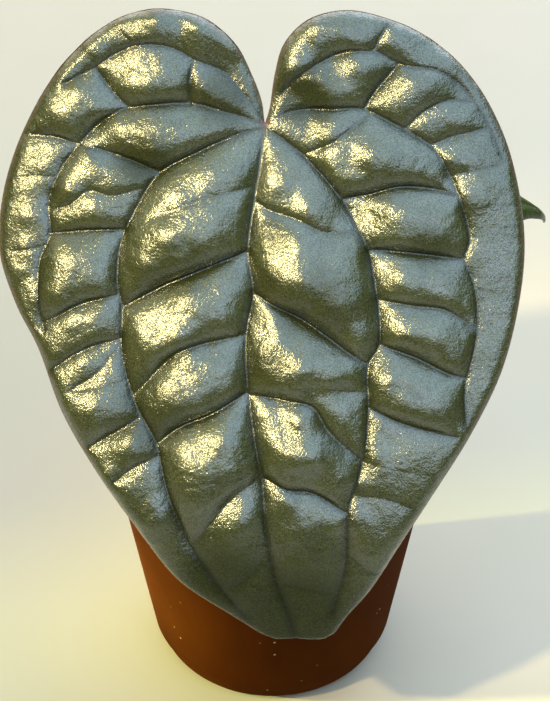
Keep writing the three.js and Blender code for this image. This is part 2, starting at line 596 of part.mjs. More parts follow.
const LEAN = 50 * DEGREE; // of the main blade, up from the horizontal
const [ACROSS, UPWARDS] = [Math.cos(LEAN), Math.sin(LEAN)];
const MAIN_BLADE = {
  frame: bladeFrame([-2, 16.5, 198.5], [0, -ACROSS, -UPWARDS], [0, -UPWARDS, ACROSS]),
  left: MAIN_LEFT,
  right: MAIN_RIGHT,
  veins: MAIN_VEINS,
  calm: MAIN_CALM,
  tilts: MAIN_TILTS,
  spacing: 3.7,
  lift: 0.42, // height of the bullae for their width
  droop: { left: 5, right: 1, lobes: -4, halfWidth: 79, lobeHeight: 36 },
  bend: { start: -95, radius: 130 },
  fold: { start: -157, radius: 2.5, end: 112 * DEGREE },
};
const SECOND_BLADE = {
  frame: bladeFrame([57.4, 26, 166], [0.906, 0.311, -0.287], [0.346, -0.153, 0.926]),
  left: SECOND_LEFT,
  right: SECOND_RIGHT,
  veins: SECOND_VEINS,
  calm: [{ at: [0, 0], radius: 4.5, fullness: 0.3 }],
  tilts: [],
  spacing: 2.4,
  lift: 0.3,
  droop: { left: 2, right: 2, lobes: 1.5, halfWidth: 16, lobeHeight: 9 },
  bend: { start: -10, radius: 60 },
  fold: { start: -33, radius: 14, end: 62 * DEGREE },
};

// The line of the midrib seen from the side: straight, then a wide arc, then the tight arc at the apex
function spine({ bend, fold }, v) {
  if (v >= bend.start) return { v, w: 0, turn: 0 };
  const wide = Math.min(bend.start - v, bend.start - fold.start) / bend.radius;
  const line = {
    v: bend.start - bend.radius * Math.sin(wide),
    w: -bend.radius * (1 - Math.cos(wide)),
    turn: wide,
  };
  if (v >= fold.start) return line;
  const past = fold.start - v;
  const turn = Math.min(fold.end, wide + past / fold.radius);
  line.v -= fold.radius * (Math.sin(turn) - Math.sin(wide));
  line.w -= fold.radius * (Math.cos(wide) - Math.cos(turn));
  const straight = past - (turn - wide) * fold.radius;
  line.v -= straight * Math.cos(turn);
  line.w -= straight * Math.sin(turn);
  line.turn = turn;
  return line;
}

function droopAt({ droop }, u, v) {
  const side = u < 0 ? droop.left : droop.right;
  const across = side * (Math.abs(u) / droop.halfWidth) ** 2.5;
  const up = v > 0 ? droop.lobes * (v / droop.lobeHeight) ** 2 : 0;
  return -(across + up);
}

// Small waves laid over the bullae, each steepest at its own place
function tiltAt({ tilts }, u, v) {
  return tilts.reduce((sum, [at, radius, [across, upward]]) => {
    const [du, dv] = [u - at[0], v - at[1]];
    return sum + (across * du + upward * dv) * Math.exp(-(du * du + dv * dv) / radius ** 2);
  }, 0);
}

// A point of space from a flat point and a height above the blade's middle surface
function bladePlace(blade, u, v, height) {
  const line = spine(blade, v);
  const { knot, right, up, normal } = blade.frame;
  return knot.clone()
    .addScaledVector(right, u)
    .addScaledVector(up, line.v - height * Math.sin(line.turn))
    .addScaledVector(normal, line.w + height * Math.cos(line.turn));
}

// Height of the bullae: the blade swells like a thin skin under even pressure, held down along its veins
function reliefOf(blade, margin) {
  const step = 1.25;
  const rounds = 500;
  const [us, vs] = [margin.map(([u]) => u), margin.map(([, v]) => v)];
  const [u0, v0] = [Math.min(...us) - 2 * step, Math.min(...vs) - 2 * step];
  const columns = Math.ceil((Math.max(...us) - u0) / step) + 3;
  const rows = Math.ceil((Math.max(...vs) - v0) / step) + 3;
  const hold = new Float64Array(columns * rows);
  const push = new Float64Array(columns * rows);
  const height = new Float64Array(columns * rows);
  for (let j = 0; j < rows; j++) {
    for (let i = 0; i < columns; i++) {
      const [u, v] = [u0 + i * step, v0 + j * step];
      if (!isInside(margin, u, v)) continue;
      push[j * columns + i] = blade.calm.reduce((fullness, patch) => {
        const near = Math.exp(-((Math.hypot(u - patch.at[0], v - patch.at[1]) / patch.radius) ** 4));
        return fullness * (1 - (1 - patch.fullness) * near);
      }, step * step);
    }
  }
  for (const { depth, path } of Object.values(blade.veins)) {
    for (const [u, v] of smooth(path, step / 2)) {
      const cell = Math.round((v - v0) / step) * columns + Math.round((u - u0) / step);
      hold[cell] = Math.max(hold[cell], 3 * step * depth ** 3);
    }
  }
  for (let round = 0; round < rounds; round++) {
    for (let cell = columns; cell < columns * (rows - 1); cell++) {
      if (push[cell] === 0) continue;
      const around = height[cell - 1] + height[cell + 1] + height[cell - columns] + height[cell + columns];
      const settled = (around + push[cell]) / (4 + hold[cell]);
      height[cell] += 1.8 * (settled - height[cell]);
    }
  }
  return (u, v) => {
    const [x, y] = [(u - u0) / step, (v - v0) / step];
    const [i, j] = [Math.floor(x), Math.floor(y)];
    const [p, q] = [x - i, y - j];
    const at = (di, dj) => height[(j + dj) * columns + i + di];
    const mixed = (1 - q) * ((1 - p) * at(0, 0) + p * at(1, 0)) + q * ((1 - p) * at(0, 1) + p * at(1, 1));
    return blade.lift * ((mixed + 1) ** 0.7 - 1);
  };
}

function bladeSolid(blade) {
  const random = randomSource(5);
  const { spacing } = blade;
  const fine = spacing / 3; // near the sinus, where the two sides of the margin come close
  const sides = [blade.left, blade.right].map((points) => [
    ...smooth(points.slice(0, 3), fine).slice(0, -1),
    ...smooth(points.slice(2), spacing * 0.95),
  ]);
  const sinus = [0, blade.left[0][1] - 0.6];
  const margin = [sinus, ...sides[0], ...sides[1].slice(0, -1).reverse()];
  const relief = reliefOf(blade, margin);
  const closed = [...margin, margin[0]];
  const veinLines = Object.values(blade.veins).map(({ depth, path }) => {
    return { depth, line: smooth(path, spacing * 0.9) };
  });

  const points = [...margin];
  const isClear = ([u, v], least) => {
    return points.every((other) => Math.hypot(other[0] - u, other[1] - v) > least);
  };
  for (const { line } of veinLines) {
    for (const point of line) {
      const inside = isInside(margin, ...point) && distanceTo(closed, ...point) > spacing * 0.3;
      if (inside && isClear(point, spacing * 0.5)) points.push(point);
    }
  }
  const rowStep = spacing * Math.sqrt(0.75);
  const jitter = () => (random() - 0.5) * spacing * 0.12;
  const [low, high] = [Math.min(...margin.map(([, v]) => v)), Math.max(...margin.map(([, v]) => v))];
  const reach = blade.droop.halfWidth + 4;
  for (let row = 0; low + row * rowStep < high; row++) {
    for (let u = -reach + (row % 2) * (spacing / 2); u < reach; u += spacing) {
      const point = [u + jitter(), low + row * rowStep + jitter()];
      if (isInside(margin, ...point) && isClear(point, spacing * 0.66)) points.push(point);
    }
  }

  const strongVeins = veinLines.filter(({ depth }) => depth >= 0.8);
  const positions = [[], []];
  for (const [u, v] of points) {
    const toMargin = distanceTo(closed, u, v);
    const roll = MARGIN_ROLL * Math.max(0, 1 - toMargin / MARGIN_ROLL_WIDTH) ** 2;
    const swell = relief(u, v) + tiltAt(blade, u, v);
    const top = swell + droopAt(blade, u, v) - roll;
    const leaning = v - SLANT * swell;
    const toVein = Math.min(...strongVeins.map(({ line }) => distanceTo(line, u, v)));
    const keel = KEEL_DEPTH * Math.exp(-((toVein / KEEL_WIDTH) ** 2)) * Math.min(1, toMargin / 12);
    const fromKnot = Math.hypot(u, v + 1.5);
    const onPad = Math.min(1, Math.max(0, (PAD_RADIUS * 1.8 - fromKnot) / (PAD_RADIUS * 0.8)));
    const bottom = (1 - onPad) * (top - BLADE_THICKNESS - keel) - onPad * PAD_DEPTH;
    positions[0].push(...bladePlace(blade, u, leaning, top).toArray());
    positions[1].push(...bladePlace(blade, u, leaning, bottom).toArray());
  }

  const count = points.length;
  const triangles = [];
  const rim = new Map();
  for (const [a, b, c] of delaunay(points)) {
    const [u, v] = [0, 1].map((k) => (points[a][k] + points[b][k] + points[c][k]) / 3);
    if (!isInside(margin, u, v)) continue;
    triangles.push(a, b, c, a + count, c + count, b + count);
    for (const [from, to] of [[a, b], [b, c], [c, a]]) {
      if (rim.has(`${to},${from}`)) rim.delete(`${to},${from}`);
      else rim.set(`${from},${to}`, [from, to]);
    }
  }
  for (const [from, to] of rim.values()) {
    triangles.push(from + count, to + count, to, from + count, to, from);
  }
  return solidFrom(geometryFrom(positions.flat(), triangles));
}

// Assembly

const plastic = new THREE.MeshStandardMaterial({ color: 0x8a4a1c, roughness: 0.45, metalness: 0 });
const bark = new THREE.MeshStandardMaterial({ color: 0x3a2618, roughness: 0.95, metalness: 0 });
const woodyStem = new THREE.MeshStandardMaterial({ color: 0x6b6a3a, roughness: 0.8, metalness: 0 });
const papery = new THREE.MeshStandardMaterial({ color: 0x7a5634, roughness: 0.9, metalness: 0 });
const stalk = new THREE.MeshStandardMaterial({ color: 0x55703a, roughness: 0.55, metalness: 0 });
const leaf = new THREE.MeshStandardMaterial({ color: 0x44563f, roughness: 0.4, metalness: 0 });

const group = new THREE.Group();

function addNode(name, solid, material) {
  const mesh = new THREE.Mesh(geometryOf(solid), material);
  mesh.name = name;
  group.add(mesh);
}

const mainPath = petiolePath(MAIN_PATH, MAIN_BLADE);
const secondPath = petiolePath(SECOND_PATH, SECOND_BLADE);
const petioleCutters = [
  petioleBody(mainPath, MAIN_PETIOLE, GAP),
  petioleBody(secondPath, SECOND_PETIOLE, GAP),
  solidFrom(new THREE.SphereGeometry(MAIN_PETIOLE.sheath + GAP, 9, 6).translate(...mainPath[0])),
  solidFrom(new THREE.SphereGeometry(SECOND_PETIOLE.sheath + GAP, 9, 6).translate(...secondPath[0])),
];

addNode('pot', potSolid(), plastic);
addNode('potting_mix', mixSolid([crownBody(GAP), ...rootBodies(GAP)]), bark);
addNode('crown', crownSolid(petioleCutters), woodyStem);
CATAPHYLLS.forEach((shape, i) => addNode(`cataphyll_${i + 1}`, cataphyllSolid(shape), papery));
addNode('petiole_main', petioleBody(mainPath, MAIN_PETIOLE, 0), stalk);
addNode('petiole_second', petioleBody(secondPath, SECOND_PETIOLE, 0), stalk);
addNode('blade_main', bladeSolid(MAIN_BLADE), leaf);
addNode('blade_second', bladeSolid(SECOND_BLADE), leaf);

export default group;
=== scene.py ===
"""Looks of a potted anthurium: a large bullate leaf, a smaller one behind it, and their nursery pot."""

import math

import bmesh
import bpy
import numpy as np
from mathutils import Matrix, Vector, noise
from mathutils.geometry import delaunay_2d_cdt
from mathutils.kdtree import KDTree


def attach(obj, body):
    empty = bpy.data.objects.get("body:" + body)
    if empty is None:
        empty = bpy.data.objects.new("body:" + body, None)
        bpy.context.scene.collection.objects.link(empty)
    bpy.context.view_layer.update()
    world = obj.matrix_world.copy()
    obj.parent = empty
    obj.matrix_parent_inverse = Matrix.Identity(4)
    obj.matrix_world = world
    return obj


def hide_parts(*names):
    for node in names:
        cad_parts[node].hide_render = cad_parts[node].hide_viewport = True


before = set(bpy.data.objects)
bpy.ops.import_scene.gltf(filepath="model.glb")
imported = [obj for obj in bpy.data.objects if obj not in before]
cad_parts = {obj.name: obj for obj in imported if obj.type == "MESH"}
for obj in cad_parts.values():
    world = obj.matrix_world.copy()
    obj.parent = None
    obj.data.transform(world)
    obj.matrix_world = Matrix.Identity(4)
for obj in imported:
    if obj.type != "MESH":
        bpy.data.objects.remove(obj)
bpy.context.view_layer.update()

MM = 0.001
ROOT = "root"
SEED = 21  # for the strewn chunks, and for the wobble of stem, roots and stalks

# Dimensions in mm: the frame's own, and finer ones that only the looks have

POT_HEIGHT = 96
POT_BASE_RADIUS = 39.6  # where the line of the wall meets the base
POT_TAPER = 0.15
POT_WALL = 1.5
POT_FLOOR = 2
POT_HEEL = 8
RIM_BAND = 9
RIM_STAND = 1.2
BAND_FILLET = 1.2
BAND_EDGE = 0.7
BAND_EDGE_RISE = 0.9
LIP_OUTER = 0.9
LIP_INNER = 0.8
DRAIN_COUNT = 8
DRAIN_RADIUS = 3.2
DRAIN_CIRCLE = 21
FLAT_RING = 15  # a ring of points in the flat base, inside the drain holes
POT_SIDES = 144

MIX_TOP = 83
MIX_DOME = 2
MIX_SINK = 1.5  # how far the fine bed lies below the solid's top, under the chunks
MIX_RINGS = 40
MIX_SIDES = 120
MIX_LUMPS = 1.6

CROWN_AT = (2, 8)
CROWN_FOOT = 52
CROWN_TOP = 101
CROWN_RADIUS = 9.5
CROWN_ROUND = 4
CROWN_SIDES = 64
ROOT_EXIT = 89.5
ROOT_RADIUS = 1.9
ROOT_BEARINGS = (-120, -48, 85, 168)

CATAPHYLL_FOOT = 94
CATAPHYLLS = (
    {"bearing": -105, "half_angle": 46, "height": 37, "flare": 3.5},
    {"bearing": 150, "half_angle": 38, "height": 28, "flare": 5},
)
CATAPHYLL_ROWS = 60
CATAPHYLL_COLUMNS = 36
CATAPHYLL_SKINS = (0.1, 0.6)  # inner and outer side

MAIN_PETIOLE = {"stalk": 2.4, "sheath": 4.4, "knee": 3.1, "end": 2.7}
SECOND_PETIOLE = {"stalk": 1.7, "sheath": 3.3, "knee": 2.2, "end": 1.8}
SHEATH_LENGTH = 22
KNEE_LENGTH = 13

BLADE_THICKNESS = 0.8
KEEL_DEPTH = 1.3
KEEL_LEAST = 0.3
KEEL_WIDTH = 1.1
KEEL_HOLD = 0.3  # veins that hold the blade more firmly than this have a deeper keel
RIB_HEIGHT = 0.32  # how far the midrib stands up in the bottom of its crease
RIB_WIDTH = 0.3
CREASE_CUT = 0.18  # how much deeper a strong vein's crease is than the swelling leaves it
CREASE_WIDTH = 0.42
DOME_HEIGHT = 0.4
DOME_RADIUS = 4
LUMP_HEIGHT = 0.45
LUMP_SIZE = 8
GRIT_HEIGHT = 0.12
GRIT_SIZE = 2.6
FULL_SWELL = 3  # the height at which a bulla carries its lumps and grit in full
SLANT = 0.45  # how far a bulla leans toward the tip, for its height
MARGIN_ROLL = 0.9
MARGIN_ROLL_WIDTH = 2.6
MARGIN_EASE = 10  # creases and keels reach their full depth this far from the margin
MARGIN_ROUND = 0.35  # how far the rounded margin stands out, for the blade's thickness
PAD_DEPTH = 3
PAD_RADIUS = 3.6
PAD_FADE = 0.8  # how far past its radius the pad fades out, for its radius
PAD_V = -1.5
GAP = 0.3

# The swelling of a blade, worked out on nets that get finer

NET_LEVELS = ((4, 160), (2, 60), (1, 60))  # steps between points, and sweeps over them
NET_BORDER = 8
HOLD = 1.8
OVERSHOOT = 1.7
SWELL_POWER = 0.7

# The spacing of a blade's points

NEAR_STEP = 0.56
VEIN_ROWS = (0.4, 0.85, 1.35)  # how far from a vein its rows of points lie, where they are NEAR_STEP apart
ROW_CLEARANCE = 0.6  # least distance to a closer row, for the spacing of the points
NET_CLEARANCE = 0.62
SAME_SPOT = 0.3

# Distances to lines: how finely a line is sampled, and how far it counts

VEIN_SAMPLE, VEIN_REACH = 0.2, 6
MARGIN_SAMPLE, MARGIN_REACH = 0.3, 12

# Creases are sharp at points on a vein that holds this firmly, but not on the midrib's rib

ON_VEIN = 0.05
SHARP_HOLD = 0.35
OFF_RIB = 0.2

# Where a blade's colours and dullness change, painted shade along the creases among them

CREASE_SHADE = 1.6
# Dullness near the firm veins, which also paints shade into the creases
CREASE_DULL_AND_SHADE = 0.6
CREASE_DULL_AND_SHADE_WIDTH = 0.5
HEM_WIDTH = 0.45
KNOT_SPOT = 1.5
KNOT_SPOT_V = 0.6
UNDERSIDE_DULL = 0.7
UNDERSIDE_VEIN = 0.8

# The photograph's view: square to the large blade, from 650 mm, at 0.3 mm of blade for each pixel
VIEW_ELEVATION = math.radians(40)
VIEW_DISTANCE = 650
VIEW_AIM = (1.0, -27.0, 146.7)
IMAGE_HEIGHT = 701
BLADE_PER_PIXEL = 0.3
SENSOR = 36


# Curves and meshes

TUBE_START = (0.3, 1, 0.2)  # any direction that no tube starts along
TUBE_WOBBLE = 0.35  # turns of the wobble for each mm
LINE_SAMPLES = 25


def smooth_line(points, spacing):
    """Evenly spaced points along a centripetal Catmull-Rom curve through the given ones."""
    points = np.asarray(points, float)
    ends = [2 * points[0] - points[1], 2 * points[-1] - points[-2]]
    padded = np.vstack([ends[0], points, ends[1]])
    knots = np.concatenate([[0], np.cumsum(np.linalg.norm(np.diff(padded, axis=0), axis=1) ** 0.5)])
    pieces = []
    for i in range(1, len(points)):
        p, t = padded[i - 1:i + 3], knots[i - 1:i + 3]
        s = np.linspace(t[1], t[2], LINE_SAMPLES)[:, None]
        a = [((t[k + 1] - s) * p[k] + (s - t[k]) * p[k + 1]) / (t[k + 1] - t[k]) for k in range(3)]
        b = [((t[k + 2] - s) * a[k] + (s - t[k]) * a[k + 1]) / (t[k + 2] - t[k]) for k in range(2)]
        curve = ((t[2] - s) * b[0] + (s - t[1]) * b[1]) / (t[2] - t[1])
        pieces.append(curve if i == len(points) - 1 else curve[:-1])
    dense = np.vstack(pieces)
    along = along_line(dense)
    count = max(1, round(along[-1] / spacing))
    at = np.linspace(0, along[-1], count + 1)
    return np.stack([np.interp(at, along, dense[:, k]) for k in range(dense.shape[1])], axis=1)


def link_object(name, data):
    piece = bpy.data.objects.new(name, data)
    bpy.context.scene.collection.objects.link(piece)
    return piece


def mesh_object(name, points, faces, values=None):
    """A smooth-shaded object from points in mm, with one number per point for each named value."""
    mesh = bpy.data.meshes.new(name)
    mesh.from_pydata((np.asarray(points, float) * MM).tolist(), [], faces)
    mesh.polygons.foreach_set("use_smooth", np.ones(len(mesh.polygons), bool))
    for key, numbers in (values or {}).items():
        attribute = mesh.attributes.new(key, "FLOAT", "POINT")
        attribute.data.foreach_set("value", np.asarray(numbers, np.float32))
    mesh.update()
    return link_object(name, mesh)


def bmesh_object(name, shape):
    """An object from a bmesh, which is freed."""
    mesh = bpy.data.meshes.new(name)
    shape.to_mesh(mesh)
    shape.free()
    return link_object(name, mesh)


def join(name, pieces):
    """One object from several, and the several removed."""
    whole = bmesh.new()
    for piece in pieces:
        whole.from_mesh(piece.data)
        bpy.data.meshes.remove(piece.data)
    return bmesh_object(name, whole)


def finish_piece(piece, material, slot, *nodes):
    piece.data.materials.clear()
    piece.data.materials.append(material)
    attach(piece, ROOT)
    if nodes:
        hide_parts(*nodes)


def along_line(line):
    """How far along a line each of its points lies."""
    return np.concatenate([[0], np.cumsum(np.linalg.norm(np.diff(line, axis=0), axis=1))])


def unit_tangents(line):
    tangents = np.gradient(line, axis=0)
    return tangents / np.linalg.norm(tangents, axis=1)[:, None]


def grid_faces(rows, columns, start=0, closed=False):
    """Quads over rows of points; closed joins the last column to the first."""
    faces = []
    for i in range(rows - 1):
        for k in range(columns if closed else columns - 1):
            a, b = start + i * columns + k, start + i * columns + (k + 1) % columns
            faces.append((a, b, b + columns, a + columns))
    return faces


def capped_faces(rows, sides):
    """Quads round rows of points, and a flat face at each end."""
    first, last = range(sides), range((rows - 1) * sides, rows * sides)
    return [*grid_faces(rows, sides, closed=True), tuple(reversed(first)), tuple(last)]


def lathe_points(profile, sides):
    turns = np.linspace(0, 2 * math.pi, sides, endpoint=False)
    across, along = np.cos(turns), np.sin(turns)
    return np.vstack([np.stack([r * across, r * along, np.full(sides, z)], axis=1) for r, z in profile])


def wobbled(points, fineness, amount):
    """The points, moved by noise; a finer one has more waves for each mm."""
    return points + np.array([noise.noise_vector(Vector(p) * fineness) for p in points]) * amount


def tube(name, path, radius_at, spacing, sides, wobble):
    """A capped tube along a smooth path; radius_at(along, length, turns) gives its radius in mm."""
    line = smooth_line(path, spacing)
    along = along_line(line)
    tangents = unit_tangents(line)
    side = np.cross(tangents[0], TUBE_START)
    turns = np.linspace(0, 2 * math.pi, sides, endpoint=False)
    points = []
    for i, tangent in enumerate(tangents):
        side = side - np.dot(side, tangent) * tangent
        side /= np.linalg.norm(side)
        other = np.cross(tangent, side)
        radius = radius_at(along[i], along[-1], turns)
        points.append(line[i] + (radius * np.cos(turns))[:, None] * side
                      + (radius * np.sin(turns))[:, None] * other)
    points = wobbled(np.vstack(points), TUBE_WOBBLE, wobble)
    return mesh_object(name, points, capped_faces(len(line), sides))


# Materials


class Shader:
    """A node material: each method adds its nodes and returns their output."""

    def __init__(self, name):
        self.material = bpy.data.materials.new(name)
        self.material.use_nodes = True
        self.tree = self.material.node_tree
        self.surface = self.tree.nodes["Principled BSDF"]
        self.place = self.tree.nodes.new("ShaderNodeTexCoord").outputs["Object"]

    def link(self, value, socket):
        if isinstance(value, bpy.types.NodeSocket):
            self.tree.links.new(value, socket)
        else:
            socket.default_value = value

    def set(self, **values):
        for name, value in values.items():
            self.link(value, self.surface.inputs[name.replace("_", " ")])

    def noise(self, size, detail=3.0, rough=0.55, stretch=(1, 1, 1)):
        """Noise with features of the given size in mm."""
        node = self.texture("ShaderNodeTexNoise", size, stretch)
        node.inputs["Detail"].default_value = detail
        node.inputs["Roughness"].default_value = rough
        return node.outputs["Fac"]

    def cells(self, size, feature="F1", stretch=(1, 1, 1)):
        node = self.texture("ShaderNodeTexVoronoi", size, stretch)
        node.feature = feature
        return node.outputs["Distance"]

    def texture(self, kind, size, stretch):
        place = self.place
        if stretch != (1, 1, 1):
            mapping = self.tree.nodes.new("ShaderNodeMapping")
            self.link(place, mapping.inputs["Vector"])
            mapping.inputs["Scale"].default_value = stretch
            place = mapping.outputs["Vector"]
        node = self.tree.nodes.new(kind)
        self.link(place, node.inputs["Vector"])
        node.inputs["Scale"].default_value = 1 / (size * MM)
        return node

    def attribute(self, name):
        node = self.tree.nodes.new("ShaderNodeAttribute")
        node.attribute_name = name
        return node.outputs["Fac"]

    def ramp(self, value, stops):
        node = self.tree.nodes.new("ShaderNodeValToRGB")
        ramp = node.color_ramp
        while len(ramp.elements) < len(stops):
            ramp.elements.new(0.5)
        for element, (position, colour) in zip(ramp.elements, stops):
            element.position = position
            element.color = (*colour, 1) if isinstance(colour, tuple) else (colour, colour, colour, 1)
        self.link(value, node.inputs["Fac"])
        return node.outputs["Color"]

    def mix(self, amount, first, second):
        node = self.tree.nodes.new("ShaderNodeMix")
        node.data_type = "RGBA"
        self.link(amount, node.inputs["Factor"])
        for value, socket in ((first, node.inputs["A"]), (second, node.inputs["B"])):
            self.link((*value, 1) if isinstance(value, tuple) else value, socket)
        return node.outputs["Result"]

    def blend(self, value, stops, first, second):
        """From the first colour to the second, by as much as the stops say for the value."""
        return self.mix(self.ramp(value, stops), first, second)

    def product(self, first, second):
        node = self.tree.nodes.new("ShaderNodeMath")
        node.operation = "MULTIPLY"
        self.link(first, node.inputs[0])
        self.link(second, node.inputs[1])
        return node.outputs["Value"]

    def bump(self, height, depth, under=None):
        """Relief of the given depth in mm, laid over an earlier relief."""
        node = self.tree.nodes.new("ShaderNodeBump")
        node.inputs["Distance"].default_value = depth * MM
        self.link(height, node.inputs["Height"])
        if under:
            self.link(under, node.inputs["Normal"])
        return node.outputs["Normal"]


def scaled(colour, factor):
    return tuple(channel * factor for channel in colour)


def blade_material(name, deep, light, vein):
    shader = Shader(name)
    colour = shader.blend(shader.noise(9, 4), [(0.35, 0.0), (0.65, 1.0)], deep, light)
    fine = shader.noise(0.45, 2, 0.6)
    colour = shader.blend(fine, [(0.4, 0.0), (0.66, 0.8)], colour, scaled(light, 2.4))
    # Painted shade: darker colour along the creases, deepest at the firmest veins
    colour = shader.mix(shader.attribute("painted_crease_shade"), colour, scaled(deep, 0.9))
    colour = shader.mix(shader.attribute("vein"), colour, vein)
    pale = tuple(0.5 * a + 0.5 * b for a, b in zip(light, vein))
    colour = shader.mix(shader.attribute("underside"), colour, pale)
    colour = shader.mix(shader.attribute("margin"), colour, (0.11, 0.075, 0.045))
    colour = shader.mix(shader.attribute("knot"), colour, (0.13, 0.045, 0.03))
    dull_and_shade = shader.attribute("dull_and_shade")
    # Dull places are darker too: painted shade in the creases, at the tip and on lower slopes, besides the
    # skin's own dullness
    colour = shader.mix(shader.product(dull_and_shade, 0.5), colour, scaled(deep, 0.35))
    pebbles = shader.bump(shader.cells(0.62, "SMOOTH_F1"), 0.025)
    grain = shader.bump(shader.noise(0.55, 2, 0.7), 0.125, pebbles)
    net = shader.bump(shader.noise(5, 3, 0.6), 0.55, grain)
    rough = shader.ramp(shader.noise(0.6, 2, 0.6), [(0.35, 0.18), (0.65, 0.28)])
    film = shader.ramp(shader.noise(0.42, 2, 0.6), [(0.38, 0.5), (0.58, 1.0)])
    worn = shader.ramp(shader.noise(6, 5, 0.7), [(0.36, 0.78), (0.6, 1.0)])
    film = shader.mix(dull_and_shade, shader.product(film, worn), (0.0, 0.0, 0.0))
    shader.set(Base_Color=colour, Roughness=rough, Normal=net, IOR=1.55, Specular_IOR_Level=0.2)
    shader.set(Coat_Weight=film, Coat_Roughness=0.22, Coat_IOR=2.2, Coat_Normal=net)
    return shader.material


def pot_material():
    shader = Shader("amber_plastic")
    cloud = shader.noise(26, 3, 0.5, (1, 1, 0.6))
    colour = shader.blend(cloud, [(0.3, 0.0), (0.7, 1.0)], (0.043, 0.0085, 0.0003), (0.066, 0.015, 0.0005))
    colour = shader.blend(shader.noise(3.2, 6, 0.7), [(0.62, 0.0), (0.74, 0.03)], colour, (0.42, 0.3, 0.18))
    keep = shader.ramp(shader.noise(14, 2), [(0.45, 0.0), (0.53, 1.0)])
    specks = shader.ramp(shader.cells(5.5), [(0.05, 0.75), (0.085, 0.0)])
    colour = shader.mix(shader.product(specks, keep), colour, (0.55, 0.45, 0.3))
    dots = shader.ramp(shader.cells(9.0, stretch=(1.1, 0.9, 1)), [(0.04, 0.8), (0.07, 0.0)])
    colour = shader.mix(shader.product(dots, keep), colour, (0.05, 0.02, 0.01))
    scuffs = shader.bump(shader.noise(1.6, 5, 0.65, (1, 1, 0.35)), 0.05)
    waves = shader.bump(shader.noise(30, 1), 0.6, scuffs)
    rough = shader.ramp(shader.noise(6, 5), [(0.3, 0.3), (0.75, 0.5)])
    shader.set(Base_Color=colour, Roughness=rough, Normal=waves)
    shader.set(Subsurface_Weight=0.25, Subsurface_Scale=0.004, Specular_IOR_Level=0.0)
    shader.set(Subsurface_Radius=(1.0, 0.35, 0.1), Coat_Weight=0.05, Coat_Roughness=0.3)
    return shader.material


def bark_material(name, dark, light, grain):
    shader = Shader(name)
    stripes = shader.noise(grain, 5, 0.6, (1, 1, 3.5))
    colour = shader.blend(stripes, [(0.35, 0.0), (0.68, 1.0)], dark, light)
    colour = shader.blend(shader.noise(7, 2), [(0.5, 0.0), (0.62, 0.6)], colour, scaled(dark, 0.5))
    relief = shader.bump(stripes, 0.5)
    relief = shader.bump(shader.noise(0.5, 3), 0.12, relief)
    shader.set(Base_Color=colour, Roughness=0.88, Normal=relief)
    return shader.material


def stalk_material():
    shader = Shader("petiole_skin")
    streaks = shader.noise(1.1, 4, 0.6, (1, 1, 0.12))
    colour = shader.blend(streaks, [(0.35, 0.0), (0.7, 1.0)], (0.07, 0.12, 0.03), (0.16, 0.24, 0.07))
    dots = shader.cells(1.3, stretch=(1, 1, 0.4))
    colour = shader.blend(dots, [(0.1, 0.5), (0.2, 0.0)], colour, (0.3, 0.36, 0.2))
    shader.set(Base_Color=colour, Roughness=0.42, Normal=shader.bump(streaks, 0.12), Specular_IOR_Level=0.6)
    return shader.material


def fibre_material():
    shader = Shader("dry_bract")
    fibres = shader.noise(0.8, 5, 0.7, (1, 1, 0.07))
    colour = shader.blend(fibres, [(0.3, 0.0), (0.7, 1.0)], (0.1, 0.05, 0.02), (0.38, 0.25, 0.13))
    shader.set(Base_Color=colour, Roughness=0.8, Normal=shader.bump(fibres, 0.3))
    return shader.material


def floor_material():
    shader = Shader("pale_floor")
    tone = shader.ramp(shader.noise(120, 3), [(0.3, (0.58, 0.50, 0.40)), (0.7, (0.61, 0.53, 0.43))])
    shader.set(Base_Color=tone, Roughness=0.9)
    return shader.material


# Blades, drawn flat in (u, v) mm from the knot, u to the right and v away from the tip

MAIN_LEFT = [
    (-0.4, 1.2), (-1.2, 7), (-4, 14.8), (-8.9, 23.8), (-17.7, 31.2), (-29, 34.2), (-40.8, 32.9),
    (-52.4, 26.4), (-63.8, 14.5), (-73.4, -2.3), (-79, -19.8), (-80.3, -36.7), (-75.3, -53.1),
    (-68.4, -66.5), (-61.3, -85.4), (-51.4, -102.9), (-38.5, -121.9), (-26, -138.7), (-11.3, -149.8),
    (-3, -156), (1, -159.5), (5, -165), (10.8, -174),
]
MAIN_RIGHT = [
    (0.4, 1.2), (1.6, 5), (3.2, 15.3), (6, 24.3), (12.9, 31), (24.2, 33.8), (37, 31.3), (50, 25.4),
    (62.6, 13.5), (71.6, -2.8), (76.4, -20.7), (77.9, -37.1), (75.9, -55.1), (70.9, -74), (62.1, -92.1),
    (49.7, -112.2), (40.3, -127.4), (31.7, -142), (24.5, -151.5), (19.8, -159.5), (14.5, -167),
    (10.8, -174),
]

